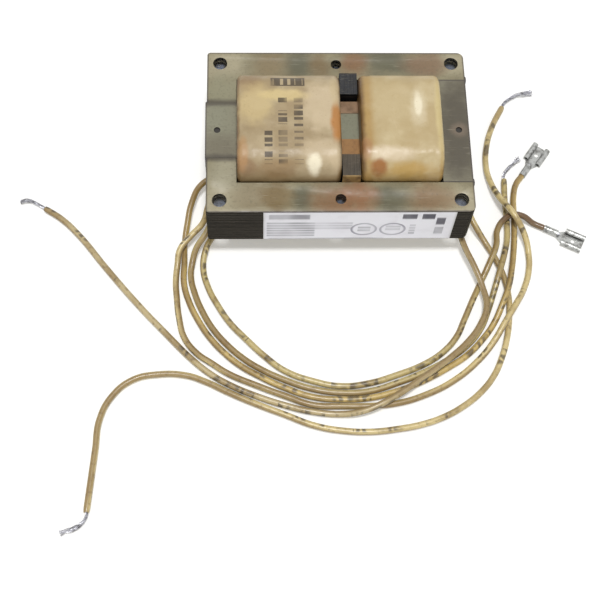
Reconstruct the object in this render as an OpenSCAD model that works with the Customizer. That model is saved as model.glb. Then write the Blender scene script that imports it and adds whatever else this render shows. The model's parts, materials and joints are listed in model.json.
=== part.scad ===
// Core-and-coil lamp ballast: T and L lamination stacks, two wrapped coils, shunts and flying leads.
// Millimetres, +Z up, label towards -Y. The origin is on the table, under the middle of the core.

/* [Core] */
// Length of the leg stacks along X
core_w = 95.25; // [85:0.25:110]
// Depth of the core over both leg stacks, along Y
core_d = 66.7; // [60:0.1:80]
// Height of the lamination stack
stack_h = 21.2; // [15:0.1:30]
// Width of each outer leg
leg_w = 11.8; // [9:0.1:14]
// Width of the feet at one end and of the crossbar at the other
foot_w = 10.8; // [8.5:0.1:13]
// Width of the centre leg
centre_leg_w = 23; // [18:0.1:25]
// How far the centre leg stands out past the feet
tongue_out = 0.5; // [0.3:0.1:2]
// Corner radius at the free ends of the outer legs
strip_corner_r = 2.4; // [1:0.1:4]
// Corner radius at the feet
foot_corner_r = 1.2; // [0.5:0.1:3]
// Width of a weld bead across a seam
bead_w = 3; // [2:0.1:4]
// Height of a weld bead above the end face
bead_out = 0.4; // [0.2:0.05:0.8]

/* [Holes] */
// Diameter of the corner mounting holes
hole_d = 5.2; // [3:0.1:6]
// Distance of the corner holes from the edges of the core
hole_inset = 4.76; // [4:0.01:6]
// Diameter of the middle holes
mid_hole_d = 3.9; // [2.5:0.1:5]
// Distance of the middle holes from the edges of the core
mid_hole_inset = 5.15; // [3.5:0.05:6]
// Diameter of the interlock dimples in the centre stack
pip_d = 2.4; // [1.5:0.1:3.5]
// Depth of the interlock dimples
pip_depth = 0.6; // [0.3:0.1:1.5]
// Distance of the interlock dimples from the ends of the leg stacks
pip_inset = 3.8; // [3:0.1:5]

/* [Coils] */
// Length of the primary coil along X
primary_len = 37; // [30:0.1:42]
// Space between the two coils, where the shunts sit
coil_gap = 7; // [5:0.1:10]
// Height of a coil above and below the stack
crown_h = 10; // [8:0.1:13]
// Gap between a coil and the outer legs
coil_clear = 0.35; // [0.2:0.05:0.6]
// Gap between a coil and the end of the window
end_clear = 0.2; // [0.1:0.05:0.5]
// Corner radius of the outer wrap
coil_corner_r = 9.5; // [6:0.1:11]
// Thickness of the outer wrap
wrap_t = 0.6; // [0.4:0.05:1]
// Depth of the folded wrap at each end of a coil
wrap_end_t = 1.5; // [1:0.1:2.5]
// Wall of the tube that a coil is wound on
tube_wall = 0.8; // [0.5:0.05:1.2]
// Corner radius of the tube
tube_corner_r = 1; // [0.6:0.1:1.2]
// Gap between the tube and the lined centre leg
tube_clear = 0.1; // [0.05:0.05:0.3]

/* [Shunts] */
// Gap between a shunt and the coils on both sides
shunt_clear = 0.3; // [0.1:0.05:0.6]
// Height of a shunt above and below the stack
shunt_over = 4.2; // [2:0.1:8]
// Magnetic gap between a shunt and the lined centre leg
shunt_air_gap = 0.7; // [0.3:0.05:0.95]
// Thickness of the paper between a shunt and the outer leg
shunt_paper_t = 0.5; // [0.2:0.05:0.8]

/* [Insulation] */
// Thickness of the paper that lines the edges of the centre leg
liner_t = 0.3; // [0.15:0.05:0.5]
// How far the back liner folds over the top and bottom of the centre leg
back_liner_fold = 4.6; // [2:0.1:9]
// How far the front liner folds over the top and bottom of the centre leg
front_liner_fold = 7.5; // [2:0.1:9]

/* [Label] */
// Length of the label
label_len = 68.4; // [40:0.1:75]
// Distance of the label from the top and bottom of the stack
label_margin = 0.4; // [0:0.1:3]
// Thickness of the label
label_t = 0.15; // [0.1:0.05:0.3]
// Distance of the label from the right end of the core
label_inset = 6.6; // [3:0.1:10]

/* [Leads] */
// Outside diameter of a lead
lead_d = 2.3; // [1.8:0.1:2.5]
// Diameter of the bare strands
strand_d = 1.2; // [0.8:0.1:1.6]
// Height of the leads where they leave a coil
exit_z = 5.5; // [4:0.1:7]
// Straight length of a lead at the coil
exit_len = 3; // [2:0.1:4]
// Straight length of the bare strands next to the insulation
strand_stub = 2; // [1:0.1:3]

/* [Terminals] */
// Width of a push-on receptacle
socket_w = 7.4; // [6.8:0.1:8.5]
// Length of a push-on receptacle
socket_len = 7.8; // [6:0.1:10]
// Thickness of the terminal's sheet
sheet_t = 0.4; // [0.3:0.05:0.5]
// Outside diameter of the rolled edges
roll_d = 2.2; // [1.8:0.1:2.6]
// Height of the slot that takes a tab
slot_h = 0.95; // [0.85:0.05:1.1]
// Diameter of the locking hole in the receptacle
lock_hole_d = 1.6; // [1:0.1:2.2]
// Outside diameter of the crimp barrel
barrel_d = 2.6; // [2.2:0.1:3]
// Length of the crimp barrel
barrel_len = 5.4; // [4:0.1:7]
// Length of the neck between barrel and receptacle
neck_len = 2.4; // [1.5:0.1:4]
// Width of the seam along the barrel
seam_w = 0.3; // [0.2:0.05:0.5]

/* [Hidden] */

// Facets of a round face, and sides of a lead's tube
$fn = 48;
cord_sides = 8;
// Overlap of a cutting shape past the face that it opens
cut = 1;

// Places of the core: the part's box, tongue and beads included, is centred on the origin
core_x0 = tongue_out - (tongue_out + core_w + bead_out) / 2;
core_x1 = core_x0 + core_w;
core_mid_x = (core_x0 + core_x1) / 2;
stack_z0 = crown_h;
stack_z1 = stack_z0 + stack_h;
stack_mid_z = (stack_z0 + stack_z1) / 2;
window_x0 = core_x0 + foot_w;
window_x1 = core_x1 - foot_w;
leg_inner_y = core_d / 2 - leg_w;
centre_half = centre_leg_w / 2;
corner_hole_y = core_d / 2 - hole_inset;
mid_hole_y = core_d / 2 - mid_hole_inset;

// Coil sections, as half sizes about the centre leg's axis
tube_in_y = centre_half + liner_t + tube_clear;
tube_in_z = stack_h / 2 + liner_t + tube_clear;
tube_out_y = tube_in_y + tube_wall;
tube_out_z = tube_in_z + tube_wall;
wrap_y = leg_inner_y - coil_clear;
wrap_z = stack_h / 2 + crown_h;

// Coil places along X
primary_x0 = window_x0 + end_clear;
primary_x1 = primary_x0 + primary_len;
secondary_x0 = primary_x1 + coil_gap;
secondary_x1 = window_x1 - end_clear;
secondary_len = secondary_x1 - secondary_x0;

// Shunt places
shunt_x = coil_gap - 2 * shunt_clear;
shunt_x0 = primary_x1 + shunt_clear;
shunt_y0 = centre_half + liner_t + shunt_air_gap;
shunt_y1 = leg_inner_y - shunt_paper_t;
shunt_h = stack_h + 2 * shunt_over;

// Radius of the arc that gives a bead its width and height
bead_r = (pow(bead_w / 2, 2) + pow(bead_out, 2)) / (2 * bead_out);

// Where a lead leaves its coil, at a given Y
function primary_exit(y) = [[primary_x0, y, exit_z], [primary_x0 - exit_len, y, exit_z]];
function secondary_exit(y) = [[secondary_x1, y, exit_z], [secondary_x1 + exit_len, y, exit_z]];

// Routes of the leads: each leaves its coil under the core and lies on the table
line_lead_a_route = concat(primary_exit(-8), [
    [-43.5, -9, 5.5], [-46.5, -13, 5.5], [-48, -18, 5.5], [-49.5, -24, 5.5], [-54, -29.5, 5],
    [-58, -34.5, 4], [-59, -40, 2], [-59.5, -46, 1.3], [-59, -53, 1.3], [-58, -61, 1.3],
    [-56, -68.5, 1.3], [-51.5, -74.5, 1.3], [-46, -78.5, 1.3], [-40, -82.5, 1.3], [-30, -87, 1.3],
    [-20, -91, 1.3], [-10, -94.5, 1.3], [0, -95, 1.3], [10, -95, 1.3], [20, -94, 1.3],
    [30, -91, 1.3], [40, -86, 1.3], [50, -78, 1.5], [56, -71, 2.5], [60.5, -64, 4],
    [65, -57, 4], [69, -50, 1.5], [71.5, -42.5, 1.3], [72, -35, 1.5], [70.5, -28.5, 4],
    [66.5, -21.5, 7], [62.5, -14, 5], [60, -6, 2.5], [59, 2, 1.3], [60, 11, 1.3],
    [63, 20, 1.3], [67.5, 28.5, 1.3]
]);
line_lead_b_route = concat(primary_exit(-12.5), [
    [-42.5, -13.5, 5.5], [-44.5, -16, 6], [-45.5, -19.5, 6.5], [-46, -23, 6.5], [-48.5, -29, 6],
    [-52, -34, 4], [-53.5, -39, 2], [-54, -44, 1.3], [-52.5, -51, 1.3], [-49.5, -58.5, 1.3],
    [-45.5, -65.5, 1.3], [-40, -72, 1.3], [-35, -76.5, 1.3], [-30, -80, 1.3], [-20, -85, 1.3],
    [-10, -88.5, 1.3], [0, -90, 1.3], [10, -89.5, 1.3], [20, -86.5, 1.3], [30, -82.5, 1.3],
    [40, -77, 1.3], [46.5, -72, 1.3], [51.5, -66, 1.3], [55, -58.5, 1.3], [57.5, -51.5, 2.5],
    [60, -44, 4], [62.5, -36.5, 3.5], [64.5, -29, 1.5], [65, -21, 1.3], [65, -13, 1.3],
    [65.5, -4, 1.3]
]);
capacitor_lead_a_route = concat(primary_exit(-3.5), [
    [-44.5, -4.5, 5.5], [-50.5, -8, 5], [-54, -15.5, 4.5], [-55.5, -23, 3], [-56.5, -31, 1.5],
    [-56.5, -39, 1.3], [-56.5, -47, 1.3], [-54.5, -54.5, 1.3], [-51, -62, 1.3], [-46.5, -69, 1.3],
    [-40, -76, 1.3], [-35, -80, 1.3], [-30, -83, 1.3], [-20, -88, 1.3], [-10, -91.5, 1.3],
    [0, -92.5, 1.3], [10, -92, 1.3], [20, -89.5, 1.3], [30, -85.5, 1.3], [40, -80, 1.3],
    [46, -76, 1.3], [52, -70, 1.3], [56.5, -64, 1.5], [60, -57, 3.5], [63, -49.5, 4],
    [65, -42, 2.5], [66.5, -34.5, 1.5], [67.5, -26.5, 1.3], [68, -18.5, 1.3], [68.5, -11.5, 1.3],
    [70, -6, 1.5], [72.5, -2.5, 1.5]
]);
capacitor_lead_b_route = concat(primary_exit(-17), [
    [-42.5, -18, 5], [-44.5, -20.5, 4], [-45.5, -24, 3.5], [-46, -28, 3], [-48.5, -33.5, 2.5],
    [-49.5, -41, 1.5], [-47.5, -49, 1.3], [-44, -56, 1.3], [-39.5, -63, 1.3], [-34, -69, 1.3],
    [-27, -76, 1.3], [-20, -81.5, 1.3], [-10, -85.5, 1.3], [0, -87.5, 1.3], [10, -86.5, 1.3],
    [20, -83.5, 1.3], [30, -79.5, 1.3], [37, -75, 1.3], [42.5, -69, 1.3], [46, -62, 1.3],
    [49.5, -54.5, 1.3], [53, -47.5, 1.5], [56.5, -40.5, 3.5], [59.5, -33.5, 4.5], [60.5, -27, 4],
    [63.5, -22.5, 4], [67, -20.5, 4], [71, -21, 3.5], [75, -23, 1.5], [79, -25, 1.5]
]);
common_lead_route = concat(secondary_exit(-17), [
    [43, -18.5, 5.5], [45, -23, 5.5], [46, -29, 5.5], [47.5, -35, 5.5], [50.5, -42.5, 5],
    [53, -50, 4], [54, -58, 4], [51, -65.5, 4], [46, -72, 4], [40.5, -77, 4],
    [34, -82, 4], [27.5, -86.5, 4], [21, -91, 4], [14, -95, 4], [7, -97.5, 3],
    [0, -98, 1.5], [-10, -97, 1.3], [-20, -94.5, 1.3], [-30, -91, 1.3], [-40, -86.5, 1.3],
    [-46.5, -82.5, 1.3], [-52.5, -77.5, 1.3], [-63.5, -66, 1.3], [-73, -55.5, 1.3], [-85, -41, 1.3],
    [-96, -27, 1.3], [-102.5, -20.5, 1.3], [-109, -16, 1.3]
]);
lamp_lead_route = concat(secondary_exit(-9), [
    [44.5, -10.5, 5.5], [49, -17.5, 5], [52, -24.5, 4], [56, -31, 1.5], [59.5, -38, 1.3],
    [62, -45.5, 1.3], [63, -53.5, 1.3], [62.5, -61.5, 1.3], [61, -69.5, 1.3], [58.5, -77, 1.3],
    [55, -84, 1.3], [50, -90, 1.3], [43, -95.5, 1.3], [35.5, -99.5, 1.3], [28, -102, 1.3],
    [20, -103.5, 1.3], [10, -104.5, 1.3], [0, -104, 1.3], [-10, -102, 1.3], [-20, -98, 1.3],
    [-30, -94, 1.3], [-40, -89.5, 1.3], [-48, -85.5, 1.3], [-55, -83, 1.3], [-65, -82.5, 1.3],
    [-74, -84.5, 1.3], [-81, -90.5, 1.3], [-85, -99, 1.3], [-86, -110, 1.3], [-87, -121, 1.3],
    [-88, -132, 1.3]
]);

// Routes of the bare ends past the straight stub
line_lead_a_tip = [[72.5, 33.5, 1.3], [80, 35.5, 1.3]];
line_lead_b_tip = [[68.5, 2, 1.3], [72, 5.5, 1.3]];
common_lead_tip = [[-115.5, -12.5, 1.3], [-118.5, -13, 1.3]];
lamp_lead_tip = [[-91, -137, 1.3], [-96.5, -139, 1.3]];

// Direction of a route at its last point, and the straight stub of strands that goes on from there
function route_end(route) = route[len(route) - 1];
function end_direction(route) = unit(route_end(route) - route[len(route) - 2]);
function strand_route(route, tip) = concat(
    [route_end(route), route_end(route) + strand_stub * end_direction(route)], tip
);

// Sweep of a round cord along its route's points
function unit(v) = v / norm(v);
function tangent(route, i) = unit(route[min(i + 1, len(route) - 1)] - route[max(i - 1, 0)]);
function cord_ring(route, i, d) =
    let (
        ahead = tangent(route, i),
        side = unit(cross([0, 0, 1], ahead)),
        rise = cross(ahead, side)
    )
    [
        for (k = [0 : cord_sides - 1])
            let (a = 360 * (k + 0.5) / cord_sides)
            route[i] + d / 2 * (cos(a) * side + sin(a) * rise)
    ];
function cord_wall(i, k) =
    let (
        next = (k + 1) % cord_sides,
        near = i * cord_sides,
        far = near + cord_sides
    )
    [[near + k, far + k, far + next], [near + k, far + next, near + next]];

module cord(route, d) {
    rings = len(route);
    points = [for (i = [0 : rings - 1]) each cord_ring(route, i, d)];
    first_cap = [for (k = [0 : cord_sides - 1]) k];
    last_cap = [for (k = [cord_sides - 1 : -1 : 0]) (rings - 1) * cord_sides + k];
    walls = [for (i = [0 : rings - 2], k = [0 : cord_sides - 1]) each cord_wall(i, k)];
    polyhedron(points, concat([first_cap, last_cap], walls));
}

// Extrudes a section in Y and Z along X
module along_x(x0, length) {
    translate([x0, 0, 0]) rotate([90, 0, 90]) linear_extrude(length) children();
}

// Rectangle with round corners, centred
module rounded_rect(w, h, r) {
    square([w - 2 * r, h], center = true);
    square([w, h - 2 * r], center = true);
    for (sx = [-1, 1], sy = [-1, 1])
        translate([sx * (w / 2 - r), sy * (h / 2 - r)]) circle(r);
}

// What a corner radius takes off a square corner that points to +X +Y
module corner_waste(r) {
    difference() {
        translate([-r, -r]) square(r + cut);
        translate([-r, -r]) circle(r);
    }
}

// Outline of the back leg stack: a long strip with a foot at its left end
module leg_outline() {
    difference() {
        union() {
            translate([core_x0, leg_inner_y]) square([core_w, leg_w]);
            translate([core_x0, centre_half]) square([foot_w, core_d / 2 - centre_half]);
        }
        translate([core_x0, core_d / 2]) mirror([1, 0]) corner_waste(foot_corner_r);
        translate([core_x1, core_d / 2]) corner_waste(strip_corner_r);
    }
}

module leg_stack() {
    difference() {
        translate([0, 0, stack_z0]) linear_extrude(stack_h) leg_outline();
        for (x = [core_x0 + hole_inset, core_x1 - hole_inset])
            translate([x, corner_hole_y, stack_z0 - cut]) cylinder(d = hole_d, h = stack_h + 2 * cut);
        translate([core_mid_x, mid_hole_y, stack_z0 - cut])
            cylinder(d = mid_hole_d, h = stack_h + 2 * cut);
    }
}

module back_leg_stack() {
    color([0.56, 0.54, 0.43]) leg_stack();
}

module front_leg_stack() {
    color([0.56, 0.54, 0.43]) mirror([0, 1, 0]) leg_stack();
}

// The T stack: its stem is the centre leg, and its crossbar closes the right end
module centre_leg_stack() {
    color([0.37, 0.35, 0.32]) {
        difference() {
            translate([0, 0, stack_z0]) linear_extrude(stack_h) {
                translate([core_x0 - tongue_out, -centre_half])
                    square([window_x1 - core_x0 + tongue_out, centre_leg_w]);
                translate([window_x1, -leg_inner_y]) square([foot_w, 2 * leg_inner_y]);
            }
            for (x = [core_x0 + pip_inset, core_x1 - pip_inset])
                translate([x, 0, stack_z1 - pip_depth]) cylinder(d = pip_d, h = pip_depth + cut);
        }
        for (x = [core_x0 + pip_inset, core_x1 - pip_inset])
            translate([x, 0, stack_z0 - pip_depth]) cylinder(d = pip_d, h = 2 * pip_depth);
    }
}

// A shallow bead over the seam at the crossbar's end
module flat_bead(y) {
    intersection() {
        translate([core_x1 + bead_out - bead_r, y, stack_z0]) cylinder(r = bead_r, h = stack_h);
        translate([core_x1, y - bead_w, stack_z0]) cube([bead_w, 2 * bead_w, stack_h]);
    }
}

// A bead in the step between the tongue and a foot
module corner_bead(y) {
    intersection() {
        translate([core_x0, y, stack_z0]) cylinder(r = tongue_out, h = stack_h);
        translate([core_x0 - bead_w, y, stack_z0]) cube([bead_w, bead_w, stack_h]);
    }
}

module seam_welds() {
    color([0.3, 0.29, 0.28]) {
        for (side = [0, 1])
            mirror([0, side, 0]) {
                flat_bead(leg_inner_y);
                corner_bead(centre_half);
            }
    }
}

module label() {
    color([0.88, 0.88, 0.9])
        translate([core_x1 - label_inset - label_len, -core_d / 2 - label_t, stack_z0 + label_margin])
            cube([label_len, label_t, stack_h - 2 * label_margin]);
}

// Paper folded round one edge of the centre leg, between the ends of the window
module leg_liner(fold) {
    x0 = window_x0 + end_clear;
    length = window_x1 - window_x0 - 2 * end_clear;
    z0 = stack_z0 - liner_t;
    z1 = stack_z1 + liner_t;
    along_x(x0, length) {
        translate([centre_half, z0]) square([liner_t, z1 - z0]);
        translate([centre_half - fold, z0]) square([fold + liner_t, liner_t]);
        translate([centre_half - fold, stack_z1]) square([fold + liner_t, liner_t]);
    }
}

module back_leg_liner() {
    color([0.62, 0.42, 0.24]) leg_liner(back_liner_fold);
}

module front_leg_liner() {
    color([0.62, 0.42, 0.24]) mirror([0, 1, 0]) leg_liner(front_liner_fold);
}

// Section of a coil's tube, filled
module tube_section(half_y, half_z, r) {
    translate([0, stack_mid_z]) rounded_rect(2 * half_y, 2 * half_z, r);
}

// Section of a coil inside its wrap, or outside it where inset is 0
module coil_section(inset) {
    translate([0, stack_mid_z])
        rounded_rect(2 * (wrap_y - inset), 2 * (wrap_z - inset), coil_corner_r - inset);
}

module core_tube(x0, length) {
    along_x(x0, length) difference() {
        tube_section(tube_out_y, tube_out_z, tube_corner_r);
        translate([0, stack_mid_z]) square([2 * tube_in_y, 2 * tube_in_z], center = true);
    }
}

module winding(x0, length) {
    along_x(x0 + wrap_end_t, length - 2 * wrap_end_t) difference() {
        coil_section(wrap_t);
        tube_section(tube_out_y, tube_out_z, tube_corner_r);
    }
}

// Outer wrap, folded in over the ends of the winding as far as the tube
module wrap(x0, length) {
    difference() {
        along_x(x0, length) difference() {
            coil_section(0);
            tube_section(tube_out_y, tube_out_z, tube_corner_r);
        }
        along_x(x0 + wrap_end_t, length - 2 * wrap_end_t) coil_section(wrap_t);
    }
}

module primary_core_tube() {
    color([0.5, 0.36, 0.22]) core_tube(primary_x0, primary_len);
}

module secondary_core_tube() {
    color([0.5, 0.36, 0.22]) core_tube(secondary_x0, secondary_len);
}

module primary_winding() {
    color([0.62, 0.3, 0.14]) winding(primary_x0, primary_len);
}

module secondary_winding() {
    color([0.62, 0.3, 0.14]) winding(secondary_x0, secondary_len);
}

module primary_wrap() {
    color([0.8, 0.7, 0.53]) wrap(primary_x0, primary_len);
}

module secondary_wrap() {
    color([0.8, 0.7, 0.53]) wrap(secondary_x0, secondary_len);
}

module shunt() {
    translate([shunt_x0, shunt_y0, stack_mid_z - shunt_h / 2])
        cube([shunt_x, shunt_y1 - shunt_y0, shunt_h]);
}

module shunt_paper() {
    translate([shunt_x0, shunt_y1, stack_mid_z - shunt_h / 2]) cube([shunt_x, shunt_paper_t, shunt_h]);
}

module back_shunt() {
    color([0.26, 0.27, 0.3]) shunt();
}

module front_shunt() {
    color([0.27, 0.26, 0.25]) mirror([0, 1, 0]) shunt();
}

module back_shunt_paper() {
    color([0.72, 0.66, 0.42]) shunt_paper();
}

module front_shunt_paper() {
    color([0.72, 0.66, 0.42]) mirror([0, 1, 0]) shunt_paper();
}

// An insulated lead and the bare strands at its end
module lead(route) {
    color([0.73, 0.63, 0.4]) cord(route, lead_d);
}

module strands(route, tip) {
    color([0.75, 0.75, 0.76]) cord(strand_route(route, tip), strand_d);
}

// Puts a piece at the end of a route, pointing the way that the lead ends
module at_end(route) {
    ahead = end_direction(route);
    translate(route_end(route)) rotate([0, 0, atan2(ahead[1], ahead[0])]) children();
}

// Strands inside a crimp barrel, just showing past its front
module crimped_strands(route) {
    color([0.75, 0.75, 0.76])
        at_end(route) rotate([0, 90, 0]) cylinder(d = strand_d, h = barrel_len + neck_len / 3);
}

// One rolled edge of the receptacle, open towards the slot
module socket_roll(x0) {
    floor_z = -barrel_d / 2;
    translate([x0, socket_w / 2 - roll_d / 2, floor_z + roll_d / 2])
        rotate([0, 90, 0]) difference() {
            cylinder(d = roll_d, h = socket_len);
            translate([0, 0, -cut]) cylinder(d = roll_d - 2 * sheet_t, h = socket_len + 2 * cut);
            translate([roll_d / 2 - sheet_t - slot_h, -roll_d, -cut])
                cube([slot_h, roll_d, socket_len + 2 * cut]);
        }
}

// Push-on terminal: crimp barrel, neck and receptacle with rolled edges
module push_on_terminal(route) {
    floor_z = -barrel_d / 2;
    socket_x0 = barrel_len + neck_len;
    inner_w = socket_w - roll_d;
    color([0.72, 0.73, 0.72]) at_end(route) {
        difference() {
            rotate([0, 90, 0]) cylinder(d = barrel_d, h = barrel_len);
            translate([-cut, 0, 0]) rotate([0, 90, 0]) cylinder(d = strand_d, h = barrel_len + 2 * cut);
            translate([-cut, -seam_w / 2, strand_d / 2 + sheet_t / 2])
                cube([barrel_len + 2 * cut, seam_w, barrel_d]);
        }
        difference() {
            translate([0, 0, floor_z]) linear_extrude(sheet_t) {
                translate([socket_x0, -inner_w / 2]) square([socket_len, inner_w]);
                polygon([
                    [barrel_len - sheet_t, -barrel_d / 4], [barrel_len, -barrel_d / 2],
                    [socket_x0, -inner_w / 2], [socket_x0, inner_w / 2],
                    [barrel_len, barrel_d / 2], [barrel_len - sheet_t, barrel_d / 4]
                ]);
            }
            translate([socket_x0 + socket_len / 2, 0, floor_z - cut])
                cylinder(d = lock_hole_d, h = sheet_t + 2 * cut);
        }
        socket_roll(socket_x0);
        mirror([0, 1, 0]) socket_roll(socket_x0);
    }
}

module line_lead_a() { lead(line_lead_a_route); }
module line_lead_b() { lead(line_lead_b_route); }
module capacitor_lead_a() { lead(capacitor_lead_a_route); }
module capacitor_lead_b() { lead(capacitor_lead_b_route); }
module common_lead() { lead(common_lead_route); }
module lamp_lead() { lead(lamp_lead_route); }
module line_lead_a_strands() { strands(line_lead_a_route, line_lead_a_tip); }
module line_lead_b_strands() { strands(line_lead_b_route, line_lead_b_tip); }
module common_lead_strands() { strands(common_lead_route, common_lead_tip); }
module lamp_lead_strands() { strands(lamp_lead_route, lamp_lead_tip); }
module capacitor_lead_a_strands() { crimped_strands(capacitor_lead_a_route); }
module capacitor_lead_b_strands() { crimped_strands(capacitor_lead_b_route); }
module capacitor_terminal_a() { push_on_terminal(capacitor_lead_a_route); }
module capacitor_terminal_b() { push_on_terminal(capacitor_lead_b_route); }

back_leg_stack();
front_leg_stack();
centre_leg_stack();
seam_welds();
label();
back_leg_liner();
front_leg_liner();
primary_core_tube();
secondary_core_tube();
primary_winding();
secondary_winding();
primary_wrap();
secondary_wrap();
back_shunt();
front_shunt();
back_shunt_paper();
front_shunt_paper();
line_lead_a();
line_lead_b();
capacitor_lead_a();
capacitor_lead_b();
common_lead();
lamp_lead();
line_lead_a_strands();
line_lead_b_strands();
capacitor_lead_a_strands();
capacitor_lead_b_strands();
common_lead_strands();
lamp_lead_strands();
capacitor_terminal_a();
capacitor_terminal_b();
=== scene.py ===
"""Looks of an open core-and-coil lamp ballast: steel, varnished coils, label and leads on a white table."""

import json
import logging
import math
import random
from collections.abc import Callable, Iterable, Sequence
from dataclasses import dataclass
from enum import Enum

import bmesh
import bpy
from mathutils import Matrix, Vector, noise


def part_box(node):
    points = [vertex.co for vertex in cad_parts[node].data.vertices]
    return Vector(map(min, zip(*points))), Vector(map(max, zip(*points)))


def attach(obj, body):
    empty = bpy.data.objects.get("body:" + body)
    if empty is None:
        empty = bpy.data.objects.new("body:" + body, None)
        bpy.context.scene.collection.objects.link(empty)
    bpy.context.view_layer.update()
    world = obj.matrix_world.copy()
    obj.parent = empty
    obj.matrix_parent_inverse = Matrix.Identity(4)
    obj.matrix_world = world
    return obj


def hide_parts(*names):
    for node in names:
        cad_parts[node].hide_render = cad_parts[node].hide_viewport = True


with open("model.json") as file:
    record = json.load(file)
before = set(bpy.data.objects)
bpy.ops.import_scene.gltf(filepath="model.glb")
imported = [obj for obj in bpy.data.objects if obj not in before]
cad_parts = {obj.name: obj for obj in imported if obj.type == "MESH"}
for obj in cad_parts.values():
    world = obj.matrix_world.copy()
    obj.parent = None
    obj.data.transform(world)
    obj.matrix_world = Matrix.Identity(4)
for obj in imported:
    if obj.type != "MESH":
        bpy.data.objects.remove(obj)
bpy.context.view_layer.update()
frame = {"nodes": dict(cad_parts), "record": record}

log = logging.getLogger("ballast")

MM = 0.001
BODY = "root"
SHARP_ANGLE = math.radians(38)
UP = Vector((0, 0, 1))
# Turns a shape that is drawn flat, so that its height runs along X
STAND = Matrix(((0, 0, 1), (1, 0, 0), (0, 1, 0))).to_4x4()

# The display's curve between a written value and its light: a straight foot, then a power
FOOT_END = 0.04045
FOOT_SLOPE = 12.92
CURVE_OFFSET = 0.055
CURVE_POWER = 2.4

Colour = tuple[float, float, float, float]
Point = tuple[float, float, float]
Socket = bpy.types.NodeSocket
Material = bpy.types.Material
Mesh = bmesh.types.BMesh
Edge = bmesh.types.BMEdge
Vert = bmesh.types.BMVert
Rule = Callable[[Vert], Vector]


class Axis(Enum):
    """Axes along the top of a coil, by their place in a vector."""

    X = 0
    Y = 1


class Winding(Enum):
    """The two coils, by the first word of their pieces' names."""

    PRIMARY = "primary"
    SECONDARY = "secondary"


def paint(red: int, green: int, blue: int) -> Colour:
    """Turns display values into the linear colour that a shader takes.

    Args:
        red: red from 0 to 255.
        green: green from 0 to 255.
        blue: blue from 0 to 255.

    Returns:
        The colour with full cover.
    """
    linear = []
    for value in (red, green, blue):
        share = value / 255
        power = ((share + CURVE_OFFSET) / (1 + CURVE_OFFSET)) ** CURVE_POWER
        linear.append(share / FOOT_SLOPE if share <= FOOT_END else power)
    return (*linear, 1.0)


def metres(points: Iterable[Point]) -> list[Vector]:
    """Turns points in millimetres into vectors in metres."""
    return [Vector(point) * MM for point in points]


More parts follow.
